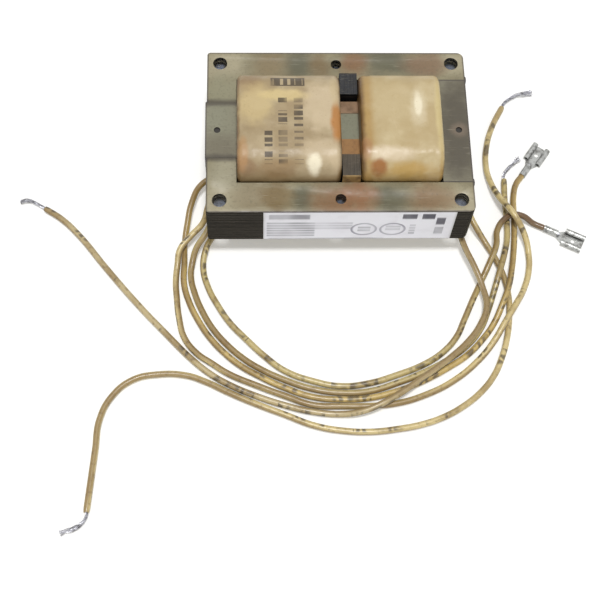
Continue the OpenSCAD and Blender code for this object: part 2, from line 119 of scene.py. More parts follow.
class Graph:
    """Node tree of one material, with a short call for each kind of node that the finishes share."""

    def __init__(self, name: str) -> None:
        """Starts a material that has a shader and reads the object's own coordinates.

        Args:
            name: name of the material.
        """
        self.material = bpy.data.materials.new(name)
        self.material.use_nodes = True
        self.tree = self.material.node_tree
        self.shader = self.tree.nodes["Principled BSDF"]
        self.place = self.node("ShaderNodeTexCoord").outputs["Object"]

    def node(self, kind: str, **settings: object) -> bpy.types.Node:
        """Adds a node.

        Args:
            kind: the node's type.
            **settings: its properties by name.

        Returns:
            The node.
        """
        made = self.tree.nodes.new(kind)
        for name, value in settings.items():
            setattr(made, name, value)
        return made

    def feed(self, socket: Socket, value: object) -> None:
        """Links an output to a socket, or sets the socket to a constant.

        Args:
            socket: the socket to feed.
            value: the output or the constant.
        """
        if isinstance(value, Socket):
            self.tree.links.new(value, socket)
        else:
            socket.default_value = value

    def surface(self, values: dict[str, object]) -> Material:
        """Feeds the shader.

        Args:
            values: outputs or constants by the name of the shader's socket.

        Returns:
            The material.
        """
        for name, value in values.items():
            self.feed(self.shader.inputs[name], value)
        return self.material

    def centred(self, at: Sequence[float], reach: Sequence[float]) -> Socket:
        """Coordinates that are 0 at a point and 1 at a reach from it along each axis.

        Args:
            at: the point, in metres.
            reach: the reach along each axis, in metres.

        Returns:
            The vector output.
        """
        mapping = self.node("ShaderNodeMapping", vector_type="TEXTURE")
        self.feed(mapping.inputs["Vector"], self.place)
        mapping.inputs["Location"].default_value = at
        mapping.inputs["Scale"].default_value = reach
        return mapping.outputs["Vector"]

    def noise(self, size: float, detail: float = 4.0, stretch: Point = (1, 1, 1)) -> Socket:
        """Cloudy noise from 0 to 1.

        Args:
            size: size of a cloud, in metres.
            detail: how many finer layers it has.
            stretch: how many times longer the clouds are along each axis.

        Returns:
            The noise output.
        """
        texture = self.node("ShaderNodeTexNoise")
        reach = [size * share for share in stretch]
        self.feed(texture.inputs["Vector"], self.centred((0, 0, 0), reach))
        texture.inputs["Scale"].default_value = 1.0
        texture.inputs["Detail"].default_value = detail
        return texture.outputs[0]

    def math(self, kind: str, *values: object) -> Socket:
        """Does one step of arithmetic.

        Args:
            kind: the step's name.
            *values: one to three outputs or constants.

        Returns:
            The result.
        """
        made = self.node("ShaderNodeMath", operation=kind)
        for socket, value in zip(made.inputs, values):
            self.feed(socket, value)
        return made.outputs[0]

    def plus(self, first: object, second: object) -> Socket:
        """The sum of two values."""
        return self.math("ADD", first, second)

    def minus(self, first: object, second: object) -> Socket:
        """The first value less the second."""
        return self.math("SUBTRACT", first, second)

    def over(self, first: object, second: object) -> Socket:
        """The first value divided by the second."""
        return self.math("DIVIDE", first, second)

    def times(self, first: Socket, *others: object) -> Socket:
        """The product of some values, which is also where masks overlap.

        Args:
            first: the first value.
            *others: the values to multiply it by.

        Returns:
            The product.
        """
        product = first
        for other in others:
            product = self.math("MULTIPLY", product, other)
        return product

    def opposite(self, mask: Socket) -> Socket:
        """A mask that is 1 where another is 0."""
        return self.minus(1.0, mask)

    def between(self, value: object, low: float, high: float,
                start: float = 0.0, end: float = 1.0) -> Socket:
        """Goes smoothly from a start to an end as a value goes from low to high.

        Args:
            value: the value.
            low: the value at which the change begins.
            high: the value at which the change is complete.
            start: the result up to low.
            end: the result from high.

        Returns:
            The result.
        """
        made = self.node("ShaderNodeMapRange", interpolation_type="SMOOTHSTEP")
        given = {"Value": value, "From Min": low, "From Max": high, "To Min": start, "To Max": end}
        for name, amount in given.items():
            self.feed(made.inputs[name], amount)
        return made.outputs["Result"]

    def mix(self, share: object, under: object, over: object) -> Socket:
        """Lays one colour over another.

        Args:
            share: how much of the upper colour shows, from 0 to 1.
            under: the lower colour.
            over: the upper colour.

        Returns:
            The colour output.
        """
        made = self.node("ShaderNodeMix", data_type="RGBA")
        sockets = {socket.identifier: socket for socket in made.inputs}
        self.feed(sockets["Factor_Float"], share)
        self.feed(sockets["A_Color"], under)
        self.feed(sockets["B_Color"], over)
        return next(socket for socket in made.outputs if socket.identifier == "Result_Color")

    def parts(self, vector: Socket) -> tuple[Socket, Socket, Socket]:
        """Splits a vector.

        Args:
            vector: the vector output.

        Returns:
            Its three values.
        """
        made = self.node("ShaderNodeSeparateXYZ")
        self.feed(made.inputs[0], vector)
        return tuple(made.outputs)

    def attribute(self, name: str) -> bpy.types.Node:
        """Reads a value that the mesh itself carries."""
        return self.node("ShaderNodeAttribute", attribute_name=name)

    def level(self) -> Socket:
        """How far a face looks up or down: 1 on a flat face, 0 on an upright one."""
        normal = self.parts(self.node("ShaderNodeNewGeometry").outputs["Normal"])
        return self.math("ABSOLUTE", normal[2])

    def ragged(self, size: float, amount: float) -> Socket:
        """Noise about 0 that breaks up an edge, by the size of its clouds and its whole height."""
        return self.times(self.minus(self.noise(size, 5.0), 0.5), amount)

    def spot(self, at: Sequence[float], reach: Sequence[float], ragged: object = 0.0,
             soft: float = 0.4) -> Socket:
        """Mask of a round patch with a soft edge.

        Args:
            at: the middle of the patch, in metres.
            reach: its half size along each axis, in metres.
            ragged: noise that breaks its edge, or 0.
            soft: width of its edge as a share of its size.

        Returns:
            The mask, 1 inside and 0 outside.
        """
        length = self.node("ShaderNodeVectorMath", operation="LENGTH")
        self.feed(length.inputs[0], self.centred(at, reach))
        away = self.plus(length.outputs["Value"], ragged)
        return self.between(away, 1 - soft, 1 + soft, 1.0, 0.0)

    def panel(self, at: Sequence[float], reach: Sequence[float], soft: float = 0.04) -> Socket:
        """Mask of a straight-sided box.

        Args:
            at: the middle of the box, in metres.
            reach: its half size along each axis, in metres.
            soft: width of its edge as a share of its size.

        Returns:
            The mask, 1 inside and 0 outside.
        """
        away = 0.0
        for value in self.parts(self.centred(at, reach)):
            away = self.math("MAXIMUM", away, self.math("ABSOLUTE", value))
        return self.between(away, 1 - soft, 1 + soft, 1.0, 0.0)

    def bump(self, height: Socket, depth: float, strength: float = 1.0) -> Socket:
        """A normal that follows a height.

        Args:
            height: the height, from 0 to 1.
            depth: what that height measures, in metres.
            strength: how much of it counts.

        Returns:
            The normal.
        """
        made = self.node("ShaderNodeBump")
        made.inputs["Strength"].default_value = strength
        made.inputs["Distance"].default_value = depth
        self.feed(made.inputs["Height"], height)
        return made.outputs["Normal"]


@dataclass(frozen=True)
class Patch:
    """A patch of colour on a face that looks up: a tint, a stain, a painted highlight, a painted
    reflection. Millimetres in the part's frame.
    """

    x: float
    y: float
    half_x: float
    half_y: float
    tint: Colour
    share: float = 0.8
    depth: float = 9.0

    def lay(self, graph: Graph, colour: Socket, height: float, ragged: Socket, soft: float) -> Socket:
        """Lays the patch over a colour.

        Args:
            graph: the material's nodes.
            colour: the colour under the patch.
            height: height of the face that carries it, in metres.
            ragged: noise that breaks its edge.
            soft: width of its edge as a share of its size.

        Returns:
            The colour with the patch on it.
        """
        at = (self.x * MM, self.y * MM, height)
        reach = (self.half_x * MM, self.half_y * MM, self.depth * MM)
        mask = graph.spot(at, reach, ragged, soft)
        return graph.mix(graph.times(mask, self.share), colour, self.tint)


@dataclass(frozen=True)
class Print:
    """Rows of short upright bars in a box, which stand for print. Millimetres in the part's frame."""

    middle: Point
    half: Point
    run: Axis
    rise: Axis
    mark: float
    row: float
    filled: float
    wide: float
    line: float = 0.0
    bars: int = 3
    bar_share: float = 0.8
    first_cell: float = 50.0

    def mask(self, graph: Graph) -> Socket:
        """Draws the bars, with a line round the box where it has one.

        Args:
            graph: the material's nodes.

        Returns:
            The mask, 1 on a bar.
        """
        values = graph.parts(graph.place)
        start = (self.middle[self.rise.value] - self.half[self.rise.value]) * MM
        along = graph.over(values[self.run.value], self.mark * MM)
        across = graph.over(graph.minus(values[self.rise.value], start), self.row * MM)
        wide = graph.math("LESS_THAN", graph.math("FRACT", along), self.wide)
        shown = self.chance(graph, along, across, 1, self.filled)
        bars = self.chance(graph, along, across, self.bars, self.bar_share)
        marks = graph.times(wide, shown, bars)
        at, reach = metres((self.middle, self.half))
        if self.line:
            rim = Vector((self.line, self.line, self.line)) * MM
            marks = graph.math("MAXIMUM", marks, graph.opposite(graph.panel(at, reach - rim)))
        return graph.times(marks, graph.panel(at, reach))

    def chance(self, graph: Graph, along: Socket, across: Socket, split: int, filled: float) -> Socket:
        """Chooses at random which parts of the marks show.

        Args:
            graph: the material's nodes.
            along: place along the row, in marks.
            across: place across the rows, in rows.
            split: how many parts a mark has.
            filled: the share of the parts that show.

        Returns:
            1 where a part shows.
        """
        own = round(sum(self.middle)) + self.first_cell
        cell = graph.node("ShaderNodeCombineXYZ")
        part = graph.math("MULTIPLY_ADD", along, float(split), own)
        graph.feed(cell.inputs[0], graph.math("FLOOR", part))
        graph.feed(cell.inputs[1], graph.math("FLOOR", graph.plus(across, own)))
        drawn = graph.node("ShaderNodeTexWhiteNoise", noise_dimensions="2D")
        graph.feed(drawn.inputs["Vector"], cell.outputs[0])
        return graph.math("LESS_THAN", drawn.outputs["Value"], filled)


@dataclass(frozen=True)
class Smear:
    """Smudged stripes in a box, which stand for small print. Millimetres from the label's left top."""

    left: float
    right: float
    top: float
    bottom: float
    row: float
    share: float
    depth: float = 5.0
    smudge: float = 12.0

    def mask(self, graph: Graph, corner: Vector) -> Socket:
        """Draws the stripes.

        Args:
            graph: the material's nodes.
            corner: the label's left top corner, in metres.

        Returns:
            The mask: the share or a little less on a stripe, and 0 beside it.
        """
        middle = Vector(((self.left + self.right) / 2, 0, -(self.top + self.bottom) / 2)) * MM
        half = Vector(((self.right - self.left) / 2, self.depth, (self.bottom - self.top) / 2)) * MM
        below = graph.minus(corner.z - self.top * MM, graph.parts(graph.place)[2])
        across = graph.math("FRACT", graph.over(below, self.row * MM))
        begun = graph.between(across, 0.0, 0.2)
        ended = graph.between(across, 0.7, 0.95, 1.0, 0.0)
        cloud = graph.noise(self.smudge * MM, 0.0)
        blotch = graph.between(cloud, 0.36, 0.6, 0.6 * self.share, self.share)
        return graph.times(begun, ended, blotch, graph.panel(corner + middle, half))


@dataclass(frozen=True)
class Oval:
    """An oval line on the label. Millimetres from the label's left top."""

    x: float
    z: float
    half_x: float
    half_z: float
    line: float = 0.8
    depth: float = 50.0

    def mask(self, graph: Graph, corner: Vector) -> Socket:
        """Draws the line.

        Args:
            graph: the material's nodes.
            corner: the label's left top corner, in metres.

        Returns:
            The mask, 1 on the line.
        """
        at = corner + Vector((self.x, 0, -self.z)) * MM
        reach = Vector((self.half_x, self.depth, self.half_z)) * MM
        line = Vector((self.line, 0, self.line)) * MM
        return graph.minus(graph.spot(at, reach, soft=0.04), graph.spot(at, reach - line, soft=0.1))


@dataclass(frozen=True)
class TintedSteel:
    """Lamination steel: heat tints on the flat faces, dark varnish on the edges of the sheets. Metres."""

    name: str
    face: Colour
    pale: Colour
    edge: Colour
    height: float
    patches: tuple[Patch, ...] = ()
    seam_y: float = 0.0
    seam_x: float = 0.0
    plan: tuple[Vector, Vector] | None = None
    rim: float = 0.45 * MM
    tint_edge: float = 0.65
    tint_wander: float = 7 * MM
    cloud_size: float = 11 * MM
    speck_size: float = 0.9 * MM
    scratch_size: float = 0.35 * MM
    wear_size: float = 3 * MM
    dull_size: float = 4 * MM
    grain_depth: float = 0.06 * MM
    grain: float = 0.5
    soot_core: float = 0.2 * MM
    soot_reach: float = 2.4 * MM
    soot_cloud: float = 4 * MM
    soot_wander: float = 1.2 * MM
    soot_end: float = 1 * MM
    mouth_end: float = 3.5 * MM
    depth_start: float = 6 * MM
    speck: Colour = paint(88, 80, 62)
    scratched: Colour = paint(196, 190, 168)
    soot: Colour = paint(74, 68, 58)
    rim_shade: Colour = paint(62, 54, 54)
    worn_edge: Colour = paint(74, 68, 61)
    bore_mouth_shade: Colour = paint(18, 18, 20)
    bore_depth_reflection: Colour = paint(226, 232, 246)
    dimple: Colour = paint(46, 42, 37)

    def build(self) -> Material:
        """Makes the material.

        Returns:
            The material.
        """
        graph = Graph(self.name)
        speck = graph.noise(self.speck_size)
        scratch = graph.noise(self.scratch_size, 2.0, (18, 1, 1))
        flat = graph.between(graph.level(), 0.55, 0.85)
        colour = graph.mix(flat, self.sheet_edges(graph), self.flat_face(graph, speck, scratch))
        bore = graph.times(graph.attribute("bore").outputs["Fac"], graph.opposite(flat))
        dull = graph.between(graph.noise(self.dull_size), 0.3, 0.7, 0.42, 0.6)
        height = graph.plus(graph.times(speck, 0.6), graph.times(scratch, 0.4))
        return graph.surface({
            "Base Color": self.sunk(graph, colour, bore),
            "Metallic": graph.times(bore, 0.85),
            "Roughness": graph.minus(dull, graph.times(bore, 0.2)),
            "Specular IOR Level": graph.between(flat, 0.0, 1.0, 0.0, 0.45),
            "Normal": graph.bump(height, self.grain_depth, self.grain),
        })

    def flat_face(self, graph: Graph, speck: Socket, scratch: Socket) -> Socket:
        """Colours the flat faces with tints, specks, scratches, soot and a dark rim.

        Args:
            graph: the material's nodes.
            speck: noise of the specks.
            scratch: noise of the scratches.

        Returns:
            The colour.
        """
        cloud = graph.noise(self.cloud_size, 5.0)
        colour = graph.mix(graph.between(cloud, 0.38, 0.66), self.face, self.pale)
        ragged = graph.ragged(self.tint_wander, 1.6)
        for patch in self.patches:
            colour = patch.lay(graph, colour, self.height, ragged, self.tint_edge)
        colour = graph.mix(graph.between(speck, 0.5, 0.75, 0.0, 0.3), colour, self.speck)
        colour = graph.mix(graph.between(scratch, 0.62, 0.8, 0.0, 0.35), colour, self.scratched)
        if self.seam_y:
            colour = self.smoke(graph, colour)
        if self.plan:
            low, high = self.plan
            reach = (high - low) / 2 - Vector((self.rim, self.rim, -self.rim))
            outside = graph.opposite(graph.panel((low + high) / 2, reach, 0.007))
            colour = graph.mix(graph.times(outside, 0.75), colour, self.rim_shade)
        return colour

    def smoke(self, graph: Graph, colour: Socket) -> Socket:
        """Darkens the steel along the seams between the tongue and the feet.

        Args:
            graph: the material's nodes.
            colour: the colour of the steel.

        Returns:
            The colour with soot on it.
        """
        x, y, _ = graph.parts(graph.place)
        away = graph.math("ABSOLUTE", graph.minus(graph.math("ABSOLUTE", y), self.seam_y))
        away = graph.plus(away, graph.ragged(self.soot_cloud, self.soot_wander))
        near = graph.between(away, self.soot_core, self.soot_reach, 0.85, 0.0)
        inside = graph.between(x, self.seam_x, self.seam_x + self.soot_end, 1.0, 0.0)
        return graph.mix(graph.times(near, inside), colour, self.soot)

    def sheet_edges(self, graph: Graph) -> Socket:
        """Colour of the sheets' edges, worn in places."""
        wear = graph.noise(self.wear_size, 6.0, (3, 3, 0.4))
        return graph.mix(graph.between(wear, 0.5, 0.8, 0.0, 0.4), self.edge, self.worn_edge)

    def sunk(self, graph: Graph, colour: Socket, bore: Socket) -> Socket:
        """Colours the bolt holes with painted shade at the mouth and a painted reflection of the white
        table below it, and the floor of the dimples.

        Args:
            graph: the material's nodes.
            colour: the colour of the rest.
            bore: mask of the holes' walls.

        Returns:
            The colour of all.
        """
        below = graph.minus(self.height, graph.parts(graph.place)[2])
        deep = graph.between(below, self.mouth_end, self.depth_start)
        # Painted shade near the mouth of each hole, and a painted reflection of the table deeper down
        colour = graph.mix(bore, colour, graph.mix(deep, self.bore_mouth_shade, self.bore_depth_reflection))
        begun = graph.between(below, 0.1 * MM, 0.3 * MM)
        ended = graph.between(below, 0.7 * MM, 0.9 * MM, 1.0, 0.0)
        return graph.mix(graph.times(begun, ended), colour, self.dimple)


@dataclass(frozen=True)
class WeldSteel:
    """Dark, scaly steel of a weld bead. Metres."""

    scale: Colour = paint(66, 63, 62)
    bare: Colour = paint(128, 124, 120)
    grain_size: float = 0.8 * MM
    grain_depth: float = 0.08 * MM

    def build(self) -> Material:
        """Makes the material.

        Returns:
            The material.
        """
        graph = Graph("weld_steel")
        grain = graph.noise(self.grain_size, 5.0)
        return graph.surface({
            "Base Color": graph.mix(graph.between(grain, 0.45, 0.75), self.scale, self.bare),
            "Metallic": 0.6,
            "Roughness": graph.between(grain, 0.3, 0.7, 0.35, 0.6),
            "Normal": graph.bump(grain, self.grain_depth),
        })


@dataclass(frozen=True)
class CoilVarnish:
    """Paper wrap under glossy varnish, with stains, painted highlights and reflections, browned ends and
    worn ink. Metres.
    """

    name: str
    left: float
    right: float
    top: float
    wrap: Colour
    pale: Colour
    amber: Colour
    brown: Colour = paint(92, 64, 36)
    ink: Colour = paint(58, 48, 38)
    left_band: float = 0.9 * MM
    right_band: float = 1.4 * MM
    band_cloud: float = 3 * MM
    band_wander: float = 1.6 * MM
    side_from: float = 4 * MM
    side_to: float = 11 * MM
    coat: float = 0.6
    patch_edge: float = 0.4
    patch_wander: float = 4 * MM
    cloud_size: float = 9 * MM
    fleck_size: float = 0.7 * MM
    worn_size: float = 9 * MM
    dull_size: float = 3 * MM
    pool_size: float = 12 * MM
    ripple_size: float = 8 * MM
    ripple_depth: float = 1.6 * MM
    patches: tuple[Patch, ...] = ()
    prints: tuple[Print, ...] = ()

    def build(self) -> Material:
        """Makes the material.

        Returns:
            The material.
        """
        graph = Graph(self.name)
        cloud = graph.noise(self.cloud_size, 5.0)
        colour = graph.mix(graph.between(cloud, 0.4, 0.68), self.wrap, self.pale)
        colour = self.browned(graph, colour)
        ragged = graph.ragged(self.patch_wander, 0.9)
        # Stains and tints, and pale patches that are painted highlights and reflections of the lamps
        for patch in self.patches:
            colour = patch.lay(graph, colour, self.top, ragged, self.patch_edge)
        fleck = graph.noise(self.fleck_size, 3.0)
        colour = graph.mix(graph.between(fleck, 0.6, 0.8, 0.0, 0.3), colour, self.amber)
        worn = graph.between(graph.noise(self.worn_size, 1.0), 0.3, 0.55, 0.45, 1.0)
        for field in self.prints:
            colour = graph.mix(graph.times(field.mask(graph), worn, 0.85), colour, self.ink)
        ripple = graph.math("MULTIPLY_ADD", fleck, 0.05, graph.noise(self.ripple_size, 2.0))
        uneven = graph.bump(ripple, self.ripple_depth, 0.6)
        pool = graph.noise(self.pool_size, 2.0)
        return graph.surface({
            "Base Color": colour,
            "Roughness": graph.between(graph.noise(self.dull_size), 0.3, 0.7, 0.4, 0.55),
            "Specular IOR Level": 0.4,
            "Coat Weight": graph.between(pool, 0.44, 0.6, 0.1 * self.coat, self.coat),
            "Coat Roughness": 0.3,
            "Coat Normal": uneven,
            "Normal": uneven,
        })

    def browned(self, graph: Graph, colour: Socket) -> Socket:
        """Browns the wrap towards its two ends and down its sides.

        Args:
            graph: the material's nodes.
            colour: the colour of the wrap.

        Returns:
            The browned colour.
        """
        x, _, z = graph.parts(graph.place)
        wander = graph.ragged(self.band_cloud, self.band_wander)
        for end, band, side in ((self.left, self.left_band, 1), (self.right, self.right_band, -1)):
            inward = graph.plus(graph.times(graph.minus(x, end), side), wander)
            amber = graph.between(inward, 0.7 * band, 1.5 * band, 0.8, 0.0)
            colour = graph.mix(amber, colour, self.amber)
            brown = graph.between(inward, 0.0, 0.6 * band, 0.85, 0.0)
            colour = graph.mix(brown, colour, self.brown)
        height = graph.plus(z, wander)
        low = graph.between(height, self.top - self.side_to, self.top - self.side_from, 0.7, 0.0)
        return graph.mix(low, colour, self.amber)


@dataclass(frozen=True)
class Paper:
    """Insulation paper or pressboard with fibres. Metres."""

    name: str
    sheet: Colour
    dark: Colour
    rough: float = 0.6
    cloud_size: float = 3 * MM
    fibre_size: float = 0.3 * MM
    fibre_depth: float = 0.05 * MM

    def build(self) -> Material:
        """Makes the material.

        Returns:
            The material.
        """
        graph = Graph(self.name)
        cloud = graph.noise(self.cloud_size, 5.0)
        fibre = graph.noise(self.fibre_size, 3.0, (6, 1, 1))
        colour = graph.mix(graph.between(cloud, 0.4, 0.7), self.sheet, self.dark)
        colour = graph.mix(graph.between(fibre, 0.55, 0.8, 0.0, 0.35), colour, self.dark)
        return graph.surface({
            "Base Color": colour,
            "Roughness": graph.between(fibre, 0.3, 0.7, self.rough - 0.1, self.rough + 0.1),
            "Normal": graph.bump(fibre, self.fibre_depth),
        })


@dataclass(frozen=True)
class EnamelledWire:
    """Close turns of enamelled copper wire round a coil. Metres."""

    turn: float = 0.6 * MM
    crest_height: float = 0.2 * MM
    dull_size: float = 2 * MM
    groove: Colour = paint(92, 42, 22)
    crest: Colour = paint(186, 104, 58)

    def build(self) -> Material:
        """Makes the material.

        Returns:
            The material.
        """
        graph = Graph("enamelled_wire")
        wave = graph.node("ShaderNodeTexWave", wave_type="BANDS", bands_direction="X")
        graph.feed(wave.inputs["Vector"], graph.centred((0, 0, 0), (self.turn, self.turn, self.turn)))
        wave.inputs["Scale"].default_value = 1.0
        turns = wave.outputs["Fac"]
        # The grooves between the turns are painted darker than the crests, as painted shade
        return graph.surface({
            "Base Color": graph.mix(turns, self.groove, self.crest),
            "Metallic": 0.7,
            "Roughness": graph.between(graph.noise(self.dull_size), 0.3, 0.7, 0.25, 0.4),
            "Normal": graph.bump(turns, self.crest_height),
        })


@dataclass(frozen=True)
class LabelPaper:
    """Off-white label with grey fields of print, plain outlines and rubbed edges. Metres."""

    corner: Vector
    middle: Vector
    half: Vector
    smears: tuple[Smear, ...]
    ovals: tuple[Oval, ...]
    sheet: Colour = paint(246, 246, 252)
    dull_sheet: Colour = paint(226, 224, 230)
    rubbed: Colour = paint(176, 170, 160)
    ink: Colour = paint(58, 56, 72)
    pale_ink: Colour = paint(150, 147, 160)
    cloud_size: float = 6 * MM
    fade_size: float = 10 * MM
    fibre_size: float = 0.25 * MM
    fibre_depth: float = 0.02 * MM

    def build(self) -> Material:
        """Makes the material.

        Returns:
            The material.
        """
        graph = Graph("label_paper")
        cloud = graph.between(graph.noise(self.cloud_size), 0.4, 0.75, 0.0, 0.5)
        colour = graph.mix(cloud, self.sheet, self.dull_sheet)
        fade = graph.between(graph.noise(self.fade_size, 1.0), 0.3, 0.6, 0.7, 1.0)
        for marks, ink in ((self.smears, self.ink), (self.ovals, self.pale_ink)):
            for mark in marks:
                colour = graph.mix(graph.times(mark.mask(graph, self.corner), fade), colour, ink)
        rim = graph.opposite(graph.panel(self.middle, self.half, 0.035))
        fibre = graph.noise(self.fibre_size, 3.0)
        return graph.surface({
            "Base Color": graph.mix(rim, colour, self.rubbed),
            "Roughness": graph.between(fibre, 0.3, 0.7, 0.4, 0.55),
            "Normal": graph.bump(fibre, self.fibre_depth),
        })


@dataclass(frozen=True)
class SleeveFinish:
    """Tan-gold lead insulation with worn dark marks in groups along it, and painted shade on the side away
    from the marks. Metres.

    The phase is the angle at which the marked side starts, and shifts the groups by as many millimetres.
    """

    name: str
    tone: Colour
    phase: float
    scorch_from: float = 1.0
    scorch_run: float = 6 * MM
    scorch_cloud: float = 6 * MM
    scorch_wander: float = 9 * MM
    # Brown of the random clouds in the tone, and of the painted shade on one side
    shade: Colour = paint(134, 108, 62)
    ink: Colour = paint(66, 55, 38)
    grime: Colour = paint(96, 70, 38)
    scorch: Colour = paint(88, 58, 34)
    twist: float = 22.0
    group: float = 26 * MM
    mark: float = 3.6 * MM
    mark_cloud: float = 5 * MM
    mark_wander: float = 9 * MM
    worn_size: float = 6 * MM
    cloud_size: float = 11 * MM
    grime_size: float = 1.6 * MM
    grime_depth: float = 0.06 * MM

    def build(self) -> Material:
        """Makes the material.

        Returns:
            The material.
        """
        graph = Graph(self.name)
        run, cosine, sine = graph.parts(graph.attribute("lay").outputs["Vector"])
        turn = graph.plus(graph.times(run, self.twist), self.phase)
        facing = graph.plus(graph.times(cosine, graph.math("COSINE", turn)),
                            graph.times(sine, graph.math("SINE", turn)))
        cloud = graph.noise(self.cloud_size)
        colour = graph.mix(graph.between(cloud, 0.42, 0.66, 0.0, 0.65), self.tone, self.shade)
        # Painted shade: the side away from the marks, which twists along the lead, is darker
        colour = graph.mix(graph.between(facing, -0.9, 0.2, 0.8, 0.0), colour, self.shade)
        colour = graph.mix(self.marks(graph, run, facing), colour, self.ink)
        grime = graph.noise(self.grime_size, 5.0)
        colour = graph.mix(graph.between(grime, 0.52, 0.76, 0.0, 0.6), colour, self.grime)
        reached = graph.plus(run, graph.ragged(self.scorch_cloud, self.scorch_wander))
        burnt = graph.between(reached, self.scorch_from, self.scorch_from + self.scorch_run)
        return graph.surface({
            "Base Color": graph.mix(graph.times(burnt, 0.8), colour, self.scorch),
            "Roughness": graph.between(grime, 0.3, 0.7, 0.34, 0.5),
            "Specular IOR Level": 0.5,
            "Coat Weight": 0.4,
            "Coat Roughness": 0.24,
            "Normal": graph.bump(grime, self.grime_depth),
        })

    def marks(self, graph: Graph, run: Socket, facing: Socket) -> Socket:
        """Mask of the marks: groups of uneven smudges on one side of the lead.

        Args:
            graph: the material's nodes.
            run: distance along the lead.
            facing: how far a place looks to the marked side.

        Returns:
            The mask.
        """
        along = graph.math("FRACT", graph.over(graph.plus(run, self.phase * MM), self.group))
        grouped = graph.math("LESS_THAN", along, 0.65)
        uneven = graph.times(graph.noise(self.mark_cloud, 1.0), self.mark_wander)
        smudge = graph.math("FRACT", graph.over(graph.plus(run, uneven), self.mark))
        begun = graph.between(smudge, 0.0, 0.25)
        ended = graph.between(smudge, 0.55, 0.85, 1.0, 0.0)
        strip = graph.between(facing, 0.0, 0.55)
        worn = graph.between(graph.noise(self.worn_size, 1.0), 0.4, 0.56, 0.0, 0.8)
        return graph.times(grouped, begun, ended, strip, worn)


@dataclass(frozen=True)
class Tin:
    """Tinned metal, dull grey with a little tarnish. Metres."""

    name: str
    bright: Colour = paint(178, 179, 176)
    tarnish: Colour = paint(116, 115, 112)
    rough: float = 0.36
    cloud_size: float = 1.6 * MM
    scratch_size: float = 0.25 * MM
    scratch_depth: float = 0.03 * MM

    def build(self) -> Material:
        """Makes the material.

        Returns:
            The material.
        """
        graph = Graph(self.name)
        cloud = graph.noise(self.cloud_size, 5.0)
        scratch = graph.noise(self.scratch_size, 2.0, (7, 1, 1))
        return graph.surface({
            "Base Color": graph.mix(graph.between(cloud, 0.42, 0.7), self.bright, self.tarnish),
            "Metallic": 0.9,
            "Roughness": graph.between(cloud, 0.3, 0.7, self.rough - 0.06, self.rough + 0.12),
            "Normal": graph.bump(scratch, self.scratch_depth),
        })


def add_piece(name: str, mesh: Mesh, finish: Material, nodes: Sequence[str]) -> bpy.types.Object:
    """Makes an object of a mesh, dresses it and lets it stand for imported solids.

    Args:
        name: name of the piece.
        mesh: its mesh, which is freed.
        finish: its material.
        nodes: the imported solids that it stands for.

    Returns:
        The new object.
    """
    bmesh.ops.recalc_face_normals(mesh, faces=mesh.faces)
    data = bpy.data.meshes.new(name)
    mesh.to_mesh(data)
    mesh.free()
    data.materials.append(finish)
    data.polygons.foreach_set("use_smooth", [True] * len(data.polygons))
    data.set_sharp_from_angle(angle=SHARP_ANGLE)
    piece = bpy.data.objects.new(name, data)
    bpy.context.scene.collection.objects.link(piece)
    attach(piece, BODY)
    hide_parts(*nodes)
    log.info("%s: %d faces", name, len(data.polygons))
    return piece


def dress(node: str, finish: Material) -> None:
    """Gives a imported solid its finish.

    Args:
        node: name of the solid.
        finish: its material.
    """
    data = frame["nodes"][node].data
    data.materials.clear()
    data.materials.append(finish)
    log.info("%s: packed solid, dressed", node)


def verts_of(edges: Iterable[Edge]) -> list[Vert]:
    """The vertices of some edges, each once, in the mesh's order."""
    return sorted({vert for edge in edges for vert in edge.verts}, key=lambda vert: vert.index)


def ring(mesh: Mesh, sides: int, radius: float, at: Vector) -> list[Edge]:
    """Adds a flat ring of edges.

    Args:
        mesh: the mesh to add to.
        sides: how many edges it has.
        radius: its radius.
        at: its middle.

    Returns:
        The edges.
    """
    place = Matrix.Translation(at)
    verts = bmesh.ops.create_circle(mesh, segments=sides, radius=radius, matrix=place)["verts"]
    return list({edge for vert in verts for edge in vert.link_edges})


def put_rim(rim: Iterable[Edge], put: Rule) -> None:
    """Puts each vertex of a rim where a rule says.

    Args:
        rim: the edges.
        put: gives the place of a vertex.
    """
    for vert in verts_of(rim):
        vert.co = put(vert)


def raise_rim(mesh: Mesh, rim: Sequence[Edge], put: Rule) -> list[Edge]:
    """Extrudes a rim of edges and puts each new vertex where a rule says.

    Args:
        mesh: the mesh to add to.
        rim: the edges to extrude.
        put: gives the place of a new vertex, which still carries its source's layers.

    Returns:
        The new rim.
    """
    made = bmesh.ops.extrude_edge_only(mesh, edges=rim)["geom"]
    fresh = {item for item in made if isinstance(item, Vert)}
    for vert in fresh:
        vert.co = put(vert)
    return [item for item in made if isinstance(item, Edge) and set(item.verts) <= fresh]


def drop_layers(mesh: Mesh) -> None:
    """Takes away the two layers that only served to build a mesh.

    Args:
        mesh: the mesh.
    """
    layers = mesh.verts.layers.float_vector
    for name in ("home", "out"):
        layers.remove(layers[name])


def smooth_line(points: Sequence[Vector], steps: int) -> list[Vector]:
    """Draws a curve with automatic handles through some points.

    Args:
        points: the points.
        steps: how many steps the curve takes from one point to the next.

    Returns:
        The points along the curve.
    """
    data = bpy.data.curves.new("route", "CURVE")
    data.dimensions = "3D"
    data.resolution_u = steps
    spline = data.splines.new("BEZIER")
    spline.bezier_points.add(len(points) - 1)
    for knot, point in zip(spline.bezier_points, points):
        knot.co = point
        knot.handle_left_type = "AUTO"
        knot.handle_right_type = "AUTO"
    holder = bpy.data.objects.new("route", data)
    bpy.context.scene.collection.objects.link(holder)
    bpy.context.view_layer.update()
    drawn = holder.evaluated_get(bpy.context.evaluated_depsgraph_get())
    traced = bpy.data.meshes.new_from_object(drawn)
    line = [vert.co.copy() for vert in traced.vertices]
    bpy.data.meshes.remove(traced)
    bpy.data.objects.remove(holder)
    bpy.data.curves.remove(data)
    return line


